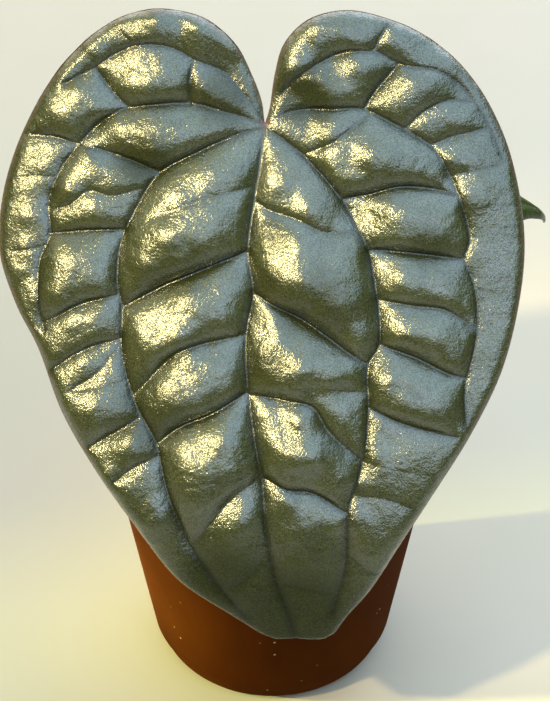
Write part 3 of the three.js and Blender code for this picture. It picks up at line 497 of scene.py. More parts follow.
# Each vein: how firmly it holds the blade down, from 0 to 1, and its points
MAIN_VEINS = [
    # The midrib comes first
    (1, [(0, -0.5), (-1.5, -12), (-4, -27), (-5, -37.5), (-3.5, -50), (-5.5, -61.5), (-5.5, -74),
        (-3.5, -91.5), (-1, -106), (0.5, -123), (3.5, -138.5), (8, -152), (10.4, -166)]),
    # Arcs and lobes
    (1, [(0, -0.5), (-9, -3), (-18.5, -7), (-31.5, -14), (-38.5, -24.5), (-42.9, -34), (-44.4, -45),
        (-42.9, -55), (-42.9, -67.5), (-39.5, -81.5), (-32.5, -95.5), (-29.5, -108.5), (-23.5, -124.5),
        (-16, -137), (-5.5, -151)]),
    (1, [(0, -0.5), (11, -8.5), (21.5, -20), (27, -29), (31, -37.5), (33, -48), (34.5, -60), (34, -66.5),
        (31, -71.5), (31, -82.5), (30, -98.5), (25, -116), (24.5, -131.5), (20.5, -149)]),
    (0.95, [(-0.5, 0.5), (-11.5, 4), (-20.5, 6.4), (-34.5, 6.4), (-44.4, 4.4), (-52.9, -2.1),
        (-61.3, -12.7), (-65.2, -22.7), (-64.7, -32.6), (-67.7, -39.6), (-68.2, -52.1), (-66.7, -61)]),
    (0.9, [(1, 1), (8, 4), (19.5, 5), (29, 5), (41, -0.6), (50.4, -6.6), (55.4, -14.6), (59.9, -26.1),
        (61.4, -34.6), (59.9, -39.6), (62.8, -48.1), (63.8, -60), (61.9, -70.5), (59.9, -79.5),
        (60.4, -89.9)]),
    (0.8, [(-0.5, 1.5), (-4.5, 7), (-12, 15.3), (-21.4, 20), (-29.7, 23.8), (-38.2, 24.2), (-45.1, 21.4),
        (-52.2, 17), (-60.7, 13.1)]),
    (0.8, [(1, 2), (5.5, 9.9), (11, 15.7), (17.9, 19.6), (25.8, 22.4), (33.8, 21.9), (40.3, 18.6),
        (51.8, 16.6), (60.8, 9.7), (66.8, 0.8), (71.3, -10.2)]),
    # Between the midrib and the arcs
    (0.35, [(-3, -17.5), (-12.5, -19), (-22, -21.5), (-34.5, -26.5)]),
    (1, [(-5, -37.5), (-18, -42.5), (-29, -47), (-42.9, -54.5)]),
    (0.7, [(-5.5, -62.5), (-15.5, -64), (-25.5, -66.5), (-31.5, -72), (-39.5, -81)]),
    (1, [(-5.5, -80), (-16, -86), (-26, -90.5), (-32.5, -95.5)]),
    (0.5, [(-1.5, -105.5), (-8.5, -109.5), (-16, -117.5), (-22, -126)]),
    (0.4, [(1.5, -127), (-5, -135), (-12.5, -142)]),
    (0.55, [(-3.5, -22), (2, -25), (10, -27), (18, -31), (28, -31)]),
    (1, [(-4, -49.5), (5, -54.5), (14, -59.5), (24, -67), (31.5, -72)]),
    (0.8, [(-5, -80.5), (5.5, -81.5), (14, -83), (19, -91), (29.5, -101)]),
    (1, [(-1, -105.5), (6.5, -108.5), (14, -110), (25, -116)]),
    (0.4, [(4, -138.5), (13.5, -140), (22.5, -142.5)]),
    # Between the arcs
    (0.85, [(-31, -14), (-38.5, -10.6), (-46.4, -7.6), (-54.9, -5.2)]),
    (0.5, [(-38, -18.5), (-45.9, -20.1), (-52.9, -18.6), (-58.3, -22.6), (-65.2, -25.2)]),
    (1, [(-41.9, -31), (-52.9, -31.1), (-64.7, -32.1)]),
    (0.85, [(-44.4, -50.5), (-55.4, -53), (-62.3, -56.5), (-68.2, -60)]),
    (0.85, [(-42.9, -63.5), (-54.9, -67), (-61.3, -71), (-65.2, -74)]),
    (0.5, [(-43.4, -65), (-49.9, -73), (-58.8, -79)]),
    (0.8, [(-38, -87.5), (-43.9, -91), (-52.9, -96.4)]),
    (0.7, [(-32, -99), (-38.5, -101.5), (-45.4, -106.4)]),
    (0.3, [(-29, -111.5), (-35, -115), (-40.4, -117.4)]),
    # Between the outer arcs and the margin
    (0.85, [(-40.4, 5.4), (-45.9, 10.8), (-50.7, 17)]),
    (0.75, [(-22.5, 6.4), (-22.4, 13.3), (-21.4, 20)]),
    (0.85, [(-55.4, -5.2), (-63.8, -2.7), (-71.6, -2.3)]),
    (0.4, [(-63.3, -14.7), (-69.7, -14.2), (-76.1, -16.3)]),
    (0.5, [(-66.2, -35.6), (-71.6, -36.7), (-78, -37.2)]),
    (0.5, [(-39.1, 24.2), (-42.5, 27.5), (-45.4, 29.7)]),
    (0.75, [(31.8, 22.4), (34.7, 26.6), (36.6, 30.3)]),
    (0.95, [(29.5, 4.9), (33.4, 10.8), (40.3, 18.6)]),
    (0.7, [(41.5, -1.1), (47.4, 4.4), (54.4, 7.8), (61.8, 7.3)]),
    (0.7, [(50.4, -5.6), (57.9, -2.6), (67.3, -0.7)]),
    (0.4, [(55.4, -14.6), (62.8, -13.1), (71.3, -11.2)]),
    # Right half, between the arcs
    (0.6, [(31, 3.5), (25, -1), (19, -5), (11.5, -8.5)]),
    (1, [(23.5, -22), (31, -20.5), (40, -18), (49.4, -18.6), (56.9, -20.1)]),
    (1, [(31, -37), (45, -38), (59.9, -40.1)]),
    (0.75, [(33.5, -52), (45, -53.5), (54.4, -55), (63.3, -61.5)]),
    (1, [(34, -65.5), (45, -69.5), (55.4, -74.5), (60.9, -76)]),
    (0.9, [(31, -84.5), (42, -89.5), (56.9, -93.4)]),
    (0.3, [(29.5, -100.5), (39, -102.5), (49.4, -104.4)]),
    (0.45, [(27, -111), (36, -111.5), (44, -114.4)]),
    (0.5, [(25, -129), (29, -132), (34, -136)]),
    # Fine veins that only this finer surface has
    (0.2, [(-2, -103.5), (-16, -104), (-29, -107.5)]),
    (0.2, [(17, -31), (16, -36), (17.5, -41)]),
    (0.35, [(20, -77.5), (25.5, -79), (31, -80)]),
    (0.4, [(-40.9, -76.5), (-48.4, -77), (-57.8, -79)]),
    (0.2, [(-65.2, -24.7), (-71.6, -24.7), (-78, -24.3)]),
    (0.3, [(-22.4, 20.5), (-24.8, 24.8), (-24.6, 32.1)]),
    (0.35, [(-50.2, 18.5), (-52.5, 21.8), (-55, 23.1)]),
    (0.25, [(12.9, 23.8), (14.4, 28), (17.3, 31.2)]),
    (0.2, [(59.9, -25.1), (67.3, -23.6), (75.7, -23.7)]),
    (0.25, [(60.9, -31.1), (68.8, -30.6), (76.2, -30.2)]),
    (0.3, [(62.8, -49), (68.8, -50.1), (75.2, -50.1)]),
    (0.2, [(23.5, -2.5), (29, -4), (33.5, -8.5)]),
    (0.4, [(30.5, -21), (28, -26), (32.5, -35)]),
    (0.15, [(39.5, -8), (41.5, -11.6), (45.9, -15.6)]),
    (0.25, [(31.5, -77.5), (38, -76.5), (47.4, -80)]),
    (0.25, [(-22.5, -126), (-28, -128), (-32, -130)]),
]

# Where the blade is less full than elsewhere: place, radius and fullness
MAIN_CALM = [
    ((70, -4), 10, 0.3), ((72, -17), 8, 0.22), ((71, -32), 11, 0.05), ((72, -46), 11, 0.05),
    ((71, -60), 10, 0.08), ((68, -74), 10, 0.1), ((63, -88), 9, 0.2), ((-73, -6), 10, 0.4),
    ((-75, -22), 10, 0.35), ((-76, -38), 10, 0.35), ((-74, -52), 9, 0.4), ((50, -104), 14, 0.45),
    ((38, -104), 13, 0.4), ((34, -118), 10, 0.45), ((2, -132), 22, 0.4), ((20, -135), 14, 0.4),
    ((9, -156), 20, 0.15), ((-25, -132), 12, 0.4), ((0, 0), 12, 0.35),
]

# Where the skin leaves its even swelling: place, radius, and slope across and along
# All but a few entries come from a scratch fit to the photo's highlights and dark sides, as report.md says
MAIN_TILTS = [
    ((-44, 32), 6, (-0.18, 0.36)), ((-35, 33), 6, (0.23, 0.19)), ((-22, 31), 6, (0.38, 0.15)),
    ((-52, 26), 6, (-0.3, 0.24)), ((-58, 20), 6, (-0.29, 0.02)), ((-48, 19), 6, (-0.34, 0.26)),
    ((-39, 23), 6, (-0.05, 0.5)), ((-61, 13), 4, (0.07, 0.39)), ((-63, 8), 4, (-0.17, 0.11)),
    ((-43, 0), 6, (-0.13, 0.14)), ((-52, -4), 6, (-0.09, -0.34)), ((-73, -26), 6, (0.05, -0.13)),
    ((-73, -37), 6, (0.06, -0.32)), ((-70, -48), 6, (0.28, -0.24)), ((-59, -17), 4, (-0.22, -0.15)),
    ((-57, -14), 4, (-0.17, -0.18)), ((-58, -57), 6, (-0.09, 0.23)), ((-42, -95), 6, (0.15, 0.02)),
    ((-24, -51), 6, (0.03, 0.16)), ((-28, -60), 6, (0.22, -0.24)), ((-24, -69), 6, (0.08, 0.2)),
    ((-15, -92), 6, (0.25, 0.17)), ((-8, -114), 6, (0.29, -0.34)), ((11, -22), 6, (0.28, -0.2)),
    ((8, -33), 6, (0.24, 0.11)), ((8, -41), 6, (0.04, -0.1)), ((8, -69), 6, (0.33, -0.19)),
    ((8, -85), 6, (0.3, 0.26)), ((3, -109), 6, (0.35, -0.02)), ((27, -114), 6, (-0.2, -0.38)),
    ((29, -105), 6, (-0.16, -0.37)), ((18, -1), 6, (0.41, -0.17)), ((30, -7), 6, (0.37, 0.12)),
    ((26, 19), 6, (0.33, 0.14)), ((41, 11), 6, (0.21, -0.02)), ((54, -8), 6, (-0.02, -0.39)),
    ((57, -18), 6, (0, -0.4)), ((37, -24), 6, (0.14, 0.13)), ((28, -30), 6, (-0.18, -0.36)),
    ((40, -44), 6, (0.21, -0.08)), ((39, -58), 6, (0.15, -0.05)), ((0, -55), 6, (0.26, 0.24)),
    ((11, 13), 6, (-0.11, 0.52)), ((-22, 11), 6, (0.05, 0.2)), ((20, -60), 5, (-0.21, -0.06)),
    ((24, -75), 6, (-0.03, 0.47)), ((6, -62), 4, (-0.25, -0.1)), ((49, -64), 6, (-0.02, 0.24)),
    ((-53, -52), 6, (0.1, -0.02)), ((-7, 20), 6, (0.3, 0.5)), ((14, -100), 6, (-0.01, 0.5)),
    ((-73, -17), 6, (-0.06, -0.02)), ((-55, -70), 6, (-0.02, 0.07)), ((14, 29), 6, (0.01, 0.16)),
    ((35, -75), 6, (0, -0.06)), ((-72, -32), 4, (-0.05, -0.21)), ((-74, -42), 4, (0, -0.27)),
    ((-68, -11), 4, (0.05, -0.14)), ((49, 20), 6, (-0.01, -0.39)), ((57, 8), 6, (-0.04, -0.13)),
    ((35, -97), 6, (-0.31, -0.27)), ((41, -90), 6, (-0.07, 0.01)), ((14, -81), 6, (-0.05, -0.39)),
    ((-46, -103), 5, (-0.04, -0.29)), ((-40, -105), 5, (-0.07, 0.08)), ((-34, -113), 6, (0.16, -0.14)),
    ((50, -1), 6, (0.02, -0.07)), ((-12, 25), 6, (0.26, 0.39)),
]

# Where small domes stand on the bullae: the photo's highlights, turned into mm by another program
MAIN_DOMES = [
    (-43, 30), (-34, 32), (-22, 30), (-51, 25), (-57, 19), (-48, 18), (-39, 22), (-61, 12), (-63, 7),
    (-43, 0), (-52, -5), (-71, -7), (-73, -17), (-72, -26), (-73, -37), (-70, -48), (-59, -17),
    (-57, -14), (-60, -39), (-58, -57), (-55, -70), (-52, -81), (-42, -94), (-26, -19), (-30, -29),
    (-24, -51), (-28, -60), (-24, -69), (-15, -92), (-8, -114), (11, -22), (8, -33), (8, -41), (8, -69),
    (8, -85), (3, -109), (27, -114), (29, -105), (18, -1), (30, -7), (26, 19), (14, 29), (40, 11),
    (36, 26), (54, -8), (57, -18), (37, -24), (28, -30), (40, -44), (39, -58), (35, -75), (0, -55),
]

# Where the skin is dull, less glossy and darker in colour, the darkness partly painted shade at the tip and
# on lower slopes: place, radius and strength
MAIN_DULL_AND_SHADE = [
    ((8, -150), 24, 0.95), ((-12, -138), 16, 0.9), ((14, -134), 12, 0.6), ((12, 9), 10, 0.7),
    ((-12, 8), 9, 0.6), ((-36, -9), 9, 0.85), ((14, -52), 12, 0.5), ((-28, -40), 12, 0.4),
    ((-34, -86), 12, 0.5), ((49, -35), 7, 0.6), ((1.5, -32), 5, 0.6), ((1.5, -44), 5, 0.6),
    ((1, -70), 6, 0.65),
]

SECOND_LEFT = [
    (-0.3, 0.6), (-1.2, 3.6), (-4.5, 8), (-9.5, 9), (-14, 5.6), (-15.8, -0.7), (-14.6, -8),
    (-11.4, -15.5), (-7.6, -22), (-4.9, -27.5), (-3.3, -32.5), (-1.7, -37.5), (0, -42),
]
SECOND_RIGHT = [
    (0.3, 0.6), (1.2, 3.6), (4.3, 8), (9.2, 9), (13.6, 5.6), (15, -0.7), (13.6, -8), (10, -15.5),
    (6.3, -22), (3.8, -27.5), (2.4, -32.5), (1.2, -37.5), (0, -42),
]


def second_veins():
    """Few and even veins, the same on both sides of the midrib."""
    veins = [(1, [(0, -0.5), (0.4, -13), (-0.2, -26), (0, -38)])]
    for side in (-1, 1):
        half = [
            (1, [(0, -0.5), (5, -2.2), (7.8, -8.5), (7, -17.5), (4, -26), (1.6, -33)]),
            (0.8, [(0, 0.4), (4.3, 2.9), (9.2, 2.9), (12, -2), (11.6, -9)]),
        ]
        for i, v in enumerate((-6.5, -13.5, -21)):
            half.append((0.8, [(0.4, v), (3.5, v - 1.4), (6.4 - i, v - 4)]))
            half.append((0.7, [(7.4 - 0.9 * i, v - 1.4), (12.5 - 3 * i, v - 3)]))
        veins += [(hold, [(side * u, v) for u, v in path]) for hold, path in half]
    return veins


def blade_frame(knot, along, facing):
    up = -Vector(along).normalized()
    normal = Vector(facing)
    normal = (normal - normal.dot(up) * up).normalized()
    return {"knot": Vector(knot), "right": up.cross(normal), "up": up, "normal": normal}


LEAN = math.radians(50)
MAIN_BLADE = {
    "frame": blade_frame((-2, 16.5, 198.5), (0, -math.cos(LEAN), -math.sin(LEAN)),
                         (0, -math.sin(LEAN), math.cos(LEAN))),
    "left": MAIN_LEFT, "right": MAIN_RIGHT, "veins": MAIN_VEINS, "calm": MAIN_CALM, "dull_and_shade": MAIN_DULL_AND_SHADE,
    "tilts": MAIN_TILTS, "domes": MAIN_DOMES,
    "lift": 0.42,
    "droop": {"left": 5, "right": 1, "lobes": -4, "half_width": 79, "lobe_height": 36},
    "bend": {"start": -95, "radius": 130},
    "fold": {"start": -157, "radius": 2.5, "end": math.radians(112)},
    "rib_end": -60, "step": 0.5, "coarse": 1.1, "near": NEAR_STEP, "vein_step": 0.55, "margin_step": 0.8,
}
SECOND_BLADE = {
    "frame": blade_frame((57.4, 26, 166), (0.906, 0.311, -0.287), (0.346, -0.153, 0.926)),
    "left": SECOND_LEFT, "right": SECOND_RIGHT, "veins": second_veins(), "calm": [((0, 0), 4.5, 0.3)],
    "dull_and_shade": [((0, 0), 300, 0.8)],
    "lift": 0.3,
    "droop": {"left": 2, "right": 2, "lobes": 1.5, "half_width": 16, "lobe_height": 9},
    "tilts": [], "domes": [],
    "bend": {"start": -10, "radius": 60},
    "fold": {"start": -33, "radius": 14, "end": math.radians(62)},
    "rib_end": -20, "step": 0.3, "coarse": 0.8, "near": 0.45, "vein_step": 0.4, "margin_step": 0.5,
}


def spine(blade, v):
    """The midrib's line seen from the side: straight, then a wide arc, then the tight arc at the apex."""
    bend, fold = blade["bend"], blade["fold"]
    widest = (bend["start"] - fold["start"]) / bend["radius"]
    wide = np.clip((bend["start"] - v) / bend["radius"], 0, widest)
    along = np.where(v >= bend["start"], v, bend["start"] - bend["radius"] * np.sin(wide))
    out = -bend["radius"] * (1 - np.cos(wide))
    past = np.maximum(0, fold["start"] - v)
    turn = np.minimum(np.maximum(fold["end"], wide), wide + past / fold["radius"])
    along = along - fold["radius"] * (np.sin(turn) - np.sin(wide))
    out = out - fold["radius"] * (np.cos(wide) - np.cos(turn))
    straight = np.maximum(0, past - (turn - wide) * fold["radius"])
    return along - straight * np.cos(turn), out - straight * np.sin(turn), turn


def blade_place(blade, u, v, height):
    """Points of space from flat points and heights above the blade's middle surface."""
    along, out, turn = spine(blade, v)
    axes = blade["frame"]
    across, away = along - height * np.sin(turn), out + height * np.cos(turn)
    return (np.array(axes["knot"]) + u[:, None] * np.array(axes["right"])
            + across[:, None] * np.array(axes["up"]) + away[:, None] * np.array(axes["normal"]))


def droop_at(blade, u, v):
    """How far the sides hang down, and how far the lobes rise."""
    droop = blade["droop"]
    out = np.abs(u) / droop["half_width"]
    side = np.where(u < 0, droop["left"], droop["right"])
    lobes = np.where(v > 0, droop["lobes"] * (v / droop["lobe_height"]) ** 2, 0)
    return -(side * out ** 2.5 + lobes)


def tilt_at(blade, u, v):
    """Small slopes and low domes laid over the bullae, each fading out round its own place."""
    lift = np.zeros(u.shape)
    for (cu, cv), radius, (across, along) in blade["tilts"]:
        lift += (across * (u - cu) + along * (v - cv)) * bell(np.hypot(u - cu, v - cv), radius)
    for cu, cv in blade["domes"]:
        lift += DOME_HEIGHT * bell(np.hypot(u - cu, v - cv), DOME_RADIUS)
    return lift


def bell(distance, width, power=2):
    """1 at no distance, and soon nothing past the width."""
    return np.exp(-(distance / width) ** power)


def inside(polygon, u, v):
    """Which of the points lie inside a closed outline."""
    result = np.zeros(u.shape, bool)
    for (u1, v1), (u2, v2) in zip(polygon, np.roll(polygon, -1, axis=0)):
        if v1 == v2:
            continue
        crosses = ((v1 > v) != (v2 > v)) & (u < u1 + (u2 - u1) * (v - v1) / (v2 - v1))
        result ^= crosses
    return result


def within(polygon, points):
    return points[inside(polygon, points[:, 0], points[:, 1])]


def tree_of(points):
    tree = KDTree(len(points))
    for i, (u, v) in enumerate(points):
        tree.insert((u, v, 0), i)
    tree.balance()
    return tree


def near_lines(lines, points, reach):
    """For each point, its distance to the nearest line and that line's value; lines are (value, points)."""
    depths = np.concatenate([np.full(len(line), depth) for depth, line in lines])
    tree = tree_of(np.vstack([line for _, line in lines]))
    distance, depth = np.full(len(points), reach, float), np.zeros(len(points))
    for i, (u, v) in enumerate(points):
        _, index, away = tree.find((u, v, 0))
        if away < reach:
            distance[i], depth[i] = away, depths[index]
    return distance, depth


class Relief:
    """Height of the bullae: a thin skin that swells under even pressure, held down along its veins."""

    def __init__(self, blade, margin):
        self.lift = blade["lift"]
        self.low = margin.min(axis=0) - NET_BORDER
        size = margin.max(axis=0) + NET_BORDER - self.low
        self.height = None
        for level, sweeps in NET_LEVELS:
            step = blade["step"] * level
            columns, rows = (size / step).astype(int) + 1
            u, v = np.meshgrid(self.low[0] + np.arange(columns) * step,
                               self.low[1] + np.arange(rows) * step)
            start = np.zeros(u.shape) if self.height is None else self.swelling(u, v)
            self.step = step
            push, hold = self.push(blade, margin, u, v), self.hold(blade, u.shape)
            self.height = self.settled(start, push, hold, sweeps)

    def push(self, blade, margin, u, v):
        """The pressure at each point of the net, less where the blade is calm and none outside it."""
        push = np.where(inside(margin, u, v), self.step ** 2, 0.0)
        for (cu, cv), radius, fullness in blade["calm"]:
            push *= 1 - (1 - fullness) * bell(np.hypot(u - cu, v - cv), radius, 4)
        return push

    def hold(self, blade, shape):
        """How firmly the veins hold each point of the net down."""
        hold = np.zeros(shape)
        for firmness, path in blade["veins"]:
            at = (smooth_line(path, self.step / 2) - self.low) / self.step
            whole = at.astype(int)
            share = at - whole
            for di, dj in ((0, 0), (1, 0), (0, 1), (1, 1)):
                near = np.abs(1 - di - share[:, 0]) * np.abs(1 - dj - share[:, 1])
                spots = (whole[:, 1] + dj, whole[:, 0] + di)
                np.add.at(hold, spots, HOLD * self.step * firmness ** 3 * near)
        return hold

    def settled(self, height, push, hold, sweeps):
        """The net after sweeps that move every second point to its balance and a little past it."""
        height[push == 0] = 0
        even = (np.indices(push.shape).sum(axis=0) % 2).astype(bool)
        masks = [(push > 0) & even, (push > 0) & ~even]
        for _ in range(sweeps):
            for mask in masks:
                around = np.zeros_like(height)
                around[1:-1, 1:-1] = (height[:-2, 1:-1] + height[2:, 1:-1]
                                      + height[1:-1, :-2] + height[1:-1, 2:])
                balance = (around + push) / (4 + hold)
                height[mask] += OVERSHOOT * (balance - height)[mask]
        return height

    def swelling(self, u, v):
        """The net's height between its points."""
        height = self.height
        x, y = (u - self.low[0]) / self.step, (v - self.low[1]) / self.step
        i = np.clip(x.astype(int), 0, height.shape[1] - 2)
        j = np.clip(y.astype(int), 0, height.shape[0] - 2)
        p, q = np.clip(x - i, 0, 1), np.clip(y - j, 0, 1)
        return ((1 - q) * ((1 - p) * height[j, i] + p * height[j, i + 1])
                + q * ((1 - p) * height[j + 1, i] + p * height[j + 1, i + 1]))

    def at(self, u, v):
        return self.lift * ((self.swelling(u, v) + 1) ** SWELL_POWER - 1)


def thin_out(points, taken, least):
    """The points that keep clear of the taken ones."""
    tree = tree_of(taken)
    return np.array([p for p in points if tree.find((p[0], p[1], 0))[2] > least]).reshape(-1, 2)


def one_per_spot(points):
    """The first point on each spot, in order."""
    _, first = np.unique(np.round(points / SAME_SPOT), axis=0, return_index=True)
    return points[np.sort(first)]


def beside(lines, offset):
    """Points that run along both sides of every line."""
    rows = []
    for _, line in lines:
        tangent = unit_tangents(line)
        across = np.stack([-tangent[:, 1], tangent[:, 0]], axis=1)
        rows += [line + offset * across, line - offset * across]
    return np.vstack(rows)


def hex_points(low, high, spacing):
    rows = np.arange(low[1], high[1], spacing * math.sqrt(0.75))
    columns = np.arange(low[0], high[0], spacing)
    return np.vstack([np.stack([columns + (row % 2) * spacing / 2, np.full(len(columns), v)], axis=1)
                      for row, v in enumerate(rows)])


def blade_margin(blade):
    """The closed outline, from the sinus down the left side to the apex and up the right side."""
    step = blade["margin_step"]
    sinus = np.array([[0, blade["left"][0][1] - 0.6]])
    return np.vstack([sinus, smooth_line(blade["left"], step), smooth_line(blade["right"], step)[-2::-1]])


def flat_net(blade, margin):
    """Flat points and triangles: close on the veins and in rows beside them, and wide elsewhere."""
    lines = [(hold, smooth_line(path, blade["vein_step"])) for hold, path in blade["veins"]]
    on_veins = within(margin, np.vstack([line for _, line in lines]))
    fixed = np.vstack([margin, one_per_spot(thin_out(on_veins, margin, blade["margin_step"] / 2))])
    for offset in VEIN_ROWS:
        rows = one_per_spot(within(margin, beside(lines, offset * blade["near"] / NEAR_STEP)))
        fixed = np.vstack([fixed, thin_out(rows, fixed, blade["near"] * ROW_CLEARANCE)])
    far = within(margin, hex_points(margin.min(axis=0), margin.max(axis=0), blade["coarse"]))
    flat = np.vstack([fixed, thin_out(far, fixed, blade["coarse"] * NET_CLEARANCE)])
    result = delaunay_2d_cdt([Vector(p) for p in flat], [], [tuple(range(len(margin)))], 1, 1e-5)
    return np.array(result[0]), np.array(result[2])


def outline_of(faces):
    """The points round the edge of a sheet of triangles, in order."""
    edge = {}
    for a, b, c in faces:
        for start, end in ((a, b), (b, c), (c, a)):
            if (end, start) in edge:
                del edge[(end, start)]
            else:
                edge[(start, end)] = True
    following = dict(edge.keys())
    outline = [next(iter(following))]
    while following[outline[-1]] != outline[0]:
        outline.append(following[outline[-1]])
    return np.array(outline)


def noise_at(flat, size, layer):
    return np.array([noise.noise(Vector((u / size, v / size, layer))) for u, v in flat])


def build_blade(name, blade, material, slot, node):
    margin = blade_margin(blade)
    flat, faces = flat_net(blade, margin)
    u, v = flat[:, 0], flat[:, 1]
    veins = [(hold, smooth_line(path, VEIN_SAMPLE)) for hold, path in blade["veins"]]
    closed = smooth_line(np.vstack([margin, margin[:1]]), MARGIN_SAMPLE)
    to_vein, depth = near_lines(veins, flat, VEIN_REACH)
    to_midrib, _ = near_lines(veins[:1], flat, VEIN_REACH)
    to_margin, _ = near_lines([(1, closed)], flat, MARGIN_REACH)

    height = Relief(blade, margin).at(u, v)
    full = np.clip(height / FULL_SWELL, 0, 1)
    texture = LUMP_HEIGHT * noise_at(flat, LUMP_SIZE, 2.3) + GRIT_HEIGHT * noise_at(flat, GRIT_SIZE, 7.1)
    swell = height + full * texture + tilt_at(blade, u, v)
    fading = np.clip((v - blade["rib_end"]) / -blade["rib_end"], 0, 1)
    rib = bell(to_midrib, RIB_WIDTH) * fading
    cut = CREASE_CUT * depth * np.exp(-to_vein / CREASE_WIDTH)
    ease = np.clip(to_margin / MARGIN_EASE, 0, 1)
    roll = MARGIN_ROLL * np.clip(1 - to_margin / MARGIN_ROLL_WIDTH, 0, 1) ** 2
    top = swell + (RIB_HEIGHT * rib - cut) * ease + droop_at(blade, u, v) - roll
    strong = np.clip((depth - KEEL_HOLD) / (1 - KEEL_HOLD), 0, 1)
    keel = (KEEL_DEPTH * strong + KEEL_LEAST) * bell(to_vein, KEEL_WIDTH) * ease
    from_knot = np.hypot(u, v - PAD_V)
    on_pad = np.clip((PAD_RADIUS * (1 + PAD_FADE) - from_knot) / (PAD_RADIUS * PAD_FADE), 0, 1)
    bottom = (1 - on_pad) * (top - BLADE_THICKNESS - keel) - on_pad * PAD_DEPTH

    # The margin is rounded by one more ring of points, half way down and a little further out
    edge = outline_of(faces)
    ring = flat[edge]
    tangent = np.roll(ring, -1, axis=0) - np.roll(ring, 1, axis=0)
    tangent /= np.linalg.norm(tangent, axis=1)[:, None]
    outward = np.stack([tangent[:, 1], -tangent[:, 0]], axis=1)
    rim = ring + outward * BLADE_THICKNESS * MARGIN_ROUND
    middle = (top[edge] + bottom[edge]) / 2
    leaning = v - SLANT * swell
    points = np.vstack([blade_place(blade, u, leaning, top), blade_place(blade, u, leaning, bottom),
                        blade_place(blade, rim[:, 0], rim[:, 1], middle)])
    count = len(flat)
    polygons = faces.tolist() + [(a + count, c + count, b + count) for a, b, c in faces.tolist()]
    for i, a in enumerate(edge):
        j = (i + 1) % len(edge)
        b, m, n = edge[j], 2 * count + i, 2 * count + j
        polygons += [(a, m, n, b), (m, a + count, b + count, n)]

    # Colours, painted shade and dullness of the top, the bottom and the rim
    # Painted shade in the creases, by how firm the nearest vein is
    painted_crease_shade = bell(to_vein, CREASE_SHADE) * depth
    hem = bell(to_margin, HEM_WIDTH)
    knot = bell(np.hypot(u, v - KNOT_SPOT_V), KNOT_SPOT)
    # Dullness takes away the coat's gloss and darkens the colour, which is painted shade in the creases and
    # at the listed places
    dull_and_shade = CREASE_DULL_AND_SHADE * depth * bell(to_vein, CREASE_DULL_AND_SHADE_WIDTH)
    for (cu, cv), radius, strength in blade["dull_and_shade"]:
        dull_and_shade = np.maximum(dull_and_shade, strength * bell(np.hypot(u - cu, v - cv), radius, 4))
    none, whole = np.zeros(count), np.ones(count)
    off, on = np.zeros(len(edge)), np.ones(len(edge))
    values = {
        "dull_and_shade": (dull_and_shade, UNDERSIDE_DULL * whole, UNDERSIDE_DULL * on),
        "vein": (rib, rib * UNDERSIDE_VEIN, off),
        "painted_crease_shade": (painted_crease_shade, none, off),
        "margin": (hem, hem, on),
        "knot": (knot, knot, knot[edge]),
        "underside": (none, whole, 0.5 * on),
    }
    values = {key: np.concatenate(parts) for key, parts in values.items()}
    piece = mesh_object(name, points, polygons, values)
    mark_creases(piece, count, (to_vein < ON_VEIN) & (depth > SHARP_HOLD) & (to_midrib > OFF_RIB))
    finish_piece(piece, material, slot, node)


def mark_creases(piece, count, in_valley):
    """Sharp edges along the firm veins of the top, whose points are the first ones."""
    for edge in piece.data.edges:
        a, b = edge.vertices
        edge.use_edge_sharp = bool(a < count and b < count and in_valley[a] and in_valley[b])


# Pot


def wall_radius(height):
    return POT_BASE_RADIUS + POT_TAPER * height


def arc(centre, radius, start, end, steps):
    angles = np.linspace(start, end, steps + 1)
    return [(centre[0] + radius * math.cos(a), centre[1] + radius * math.sin(a)) for a in angles]


def pot_profile():
    """Radius and height round the pot's section: base, outer wall, band, lip, inner wall and floor."""
    quarter = math.pi / 2
    lean = math.atan(POT_TAPER)
    mouth = wall_radius(POT_HEIGHT)
    band = POT_HEIGHT - RIM_BAND
    heel_at = POT_BASE_RADIUS - POT_HEEL
    inner = POT_HEEL - POT_WALL
    walls = [(wall_radius(z), z) for z in np.linspace(POT_HEEL + 2, band - 1.5, 18)]
    return [
        (0.01, 0), (FLAT_RING, 0), (heel_at - 2, 0),
        *arc((heel_at, POT_HEEL), POT_HEEL, -quarter, -lean, 14),
        *walls,
        *arc((wall_radius(band) + BAND_FILLET, band - BAND_FILLET), BAND_FILLET, math.pi, quarter, 4)[1:-1],
        *arc((wall_radius(band) + RIM_STAND - BAND_EDGE, band + BAND_EDGE_RISE), BAND_EDGE, -quarter, 0, 4),
        *arc((mouth + RIM_STAND - LIP_OUTER, POT_HEIGHT - LIP_OUTER), LIP_OUTER, 0, quarter, 5),
        *arc((mouth - POT_WALL + LIP_INNER, POT_HEIGHT - LIP_INNER), LIP_INNER, quarter, math.pi, 5),
        *[(r - POT_WALL, z) for r, z in reversed(walls)],
        *arc((heel_at, POT_FLOOR + inner), inner, -lean, -quarter, 12),
        (FLAT_RING, POT_FLOOR), (0.01, POT_FLOOR),
    ]


def drain_cutter():
    drills = []
    for i in range(DRAIN_COUNT):
        turn = 2 * math.pi * i / DRAIN_COUNT
        at = Vector((DRAIN_CIRCLE * math.cos(turn), DRAIN_CIRCLE * math.sin(turn), POT_FLOOR / 2)) * MM
        drill = bmesh.new()
        bmesh.ops.create_cone(drill, cap_ends=True, segments=32, radius1=DRAIN_RADIUS * MM,
                              radius2=DRAIN_RADIUS * MM, depth=(POT_FLOOR + 2) * MM,
                              matrix=Matrix.Translation(at))
        drills.append(bmesh_object("drill", drill))
    return join("drain_cutter", drills)


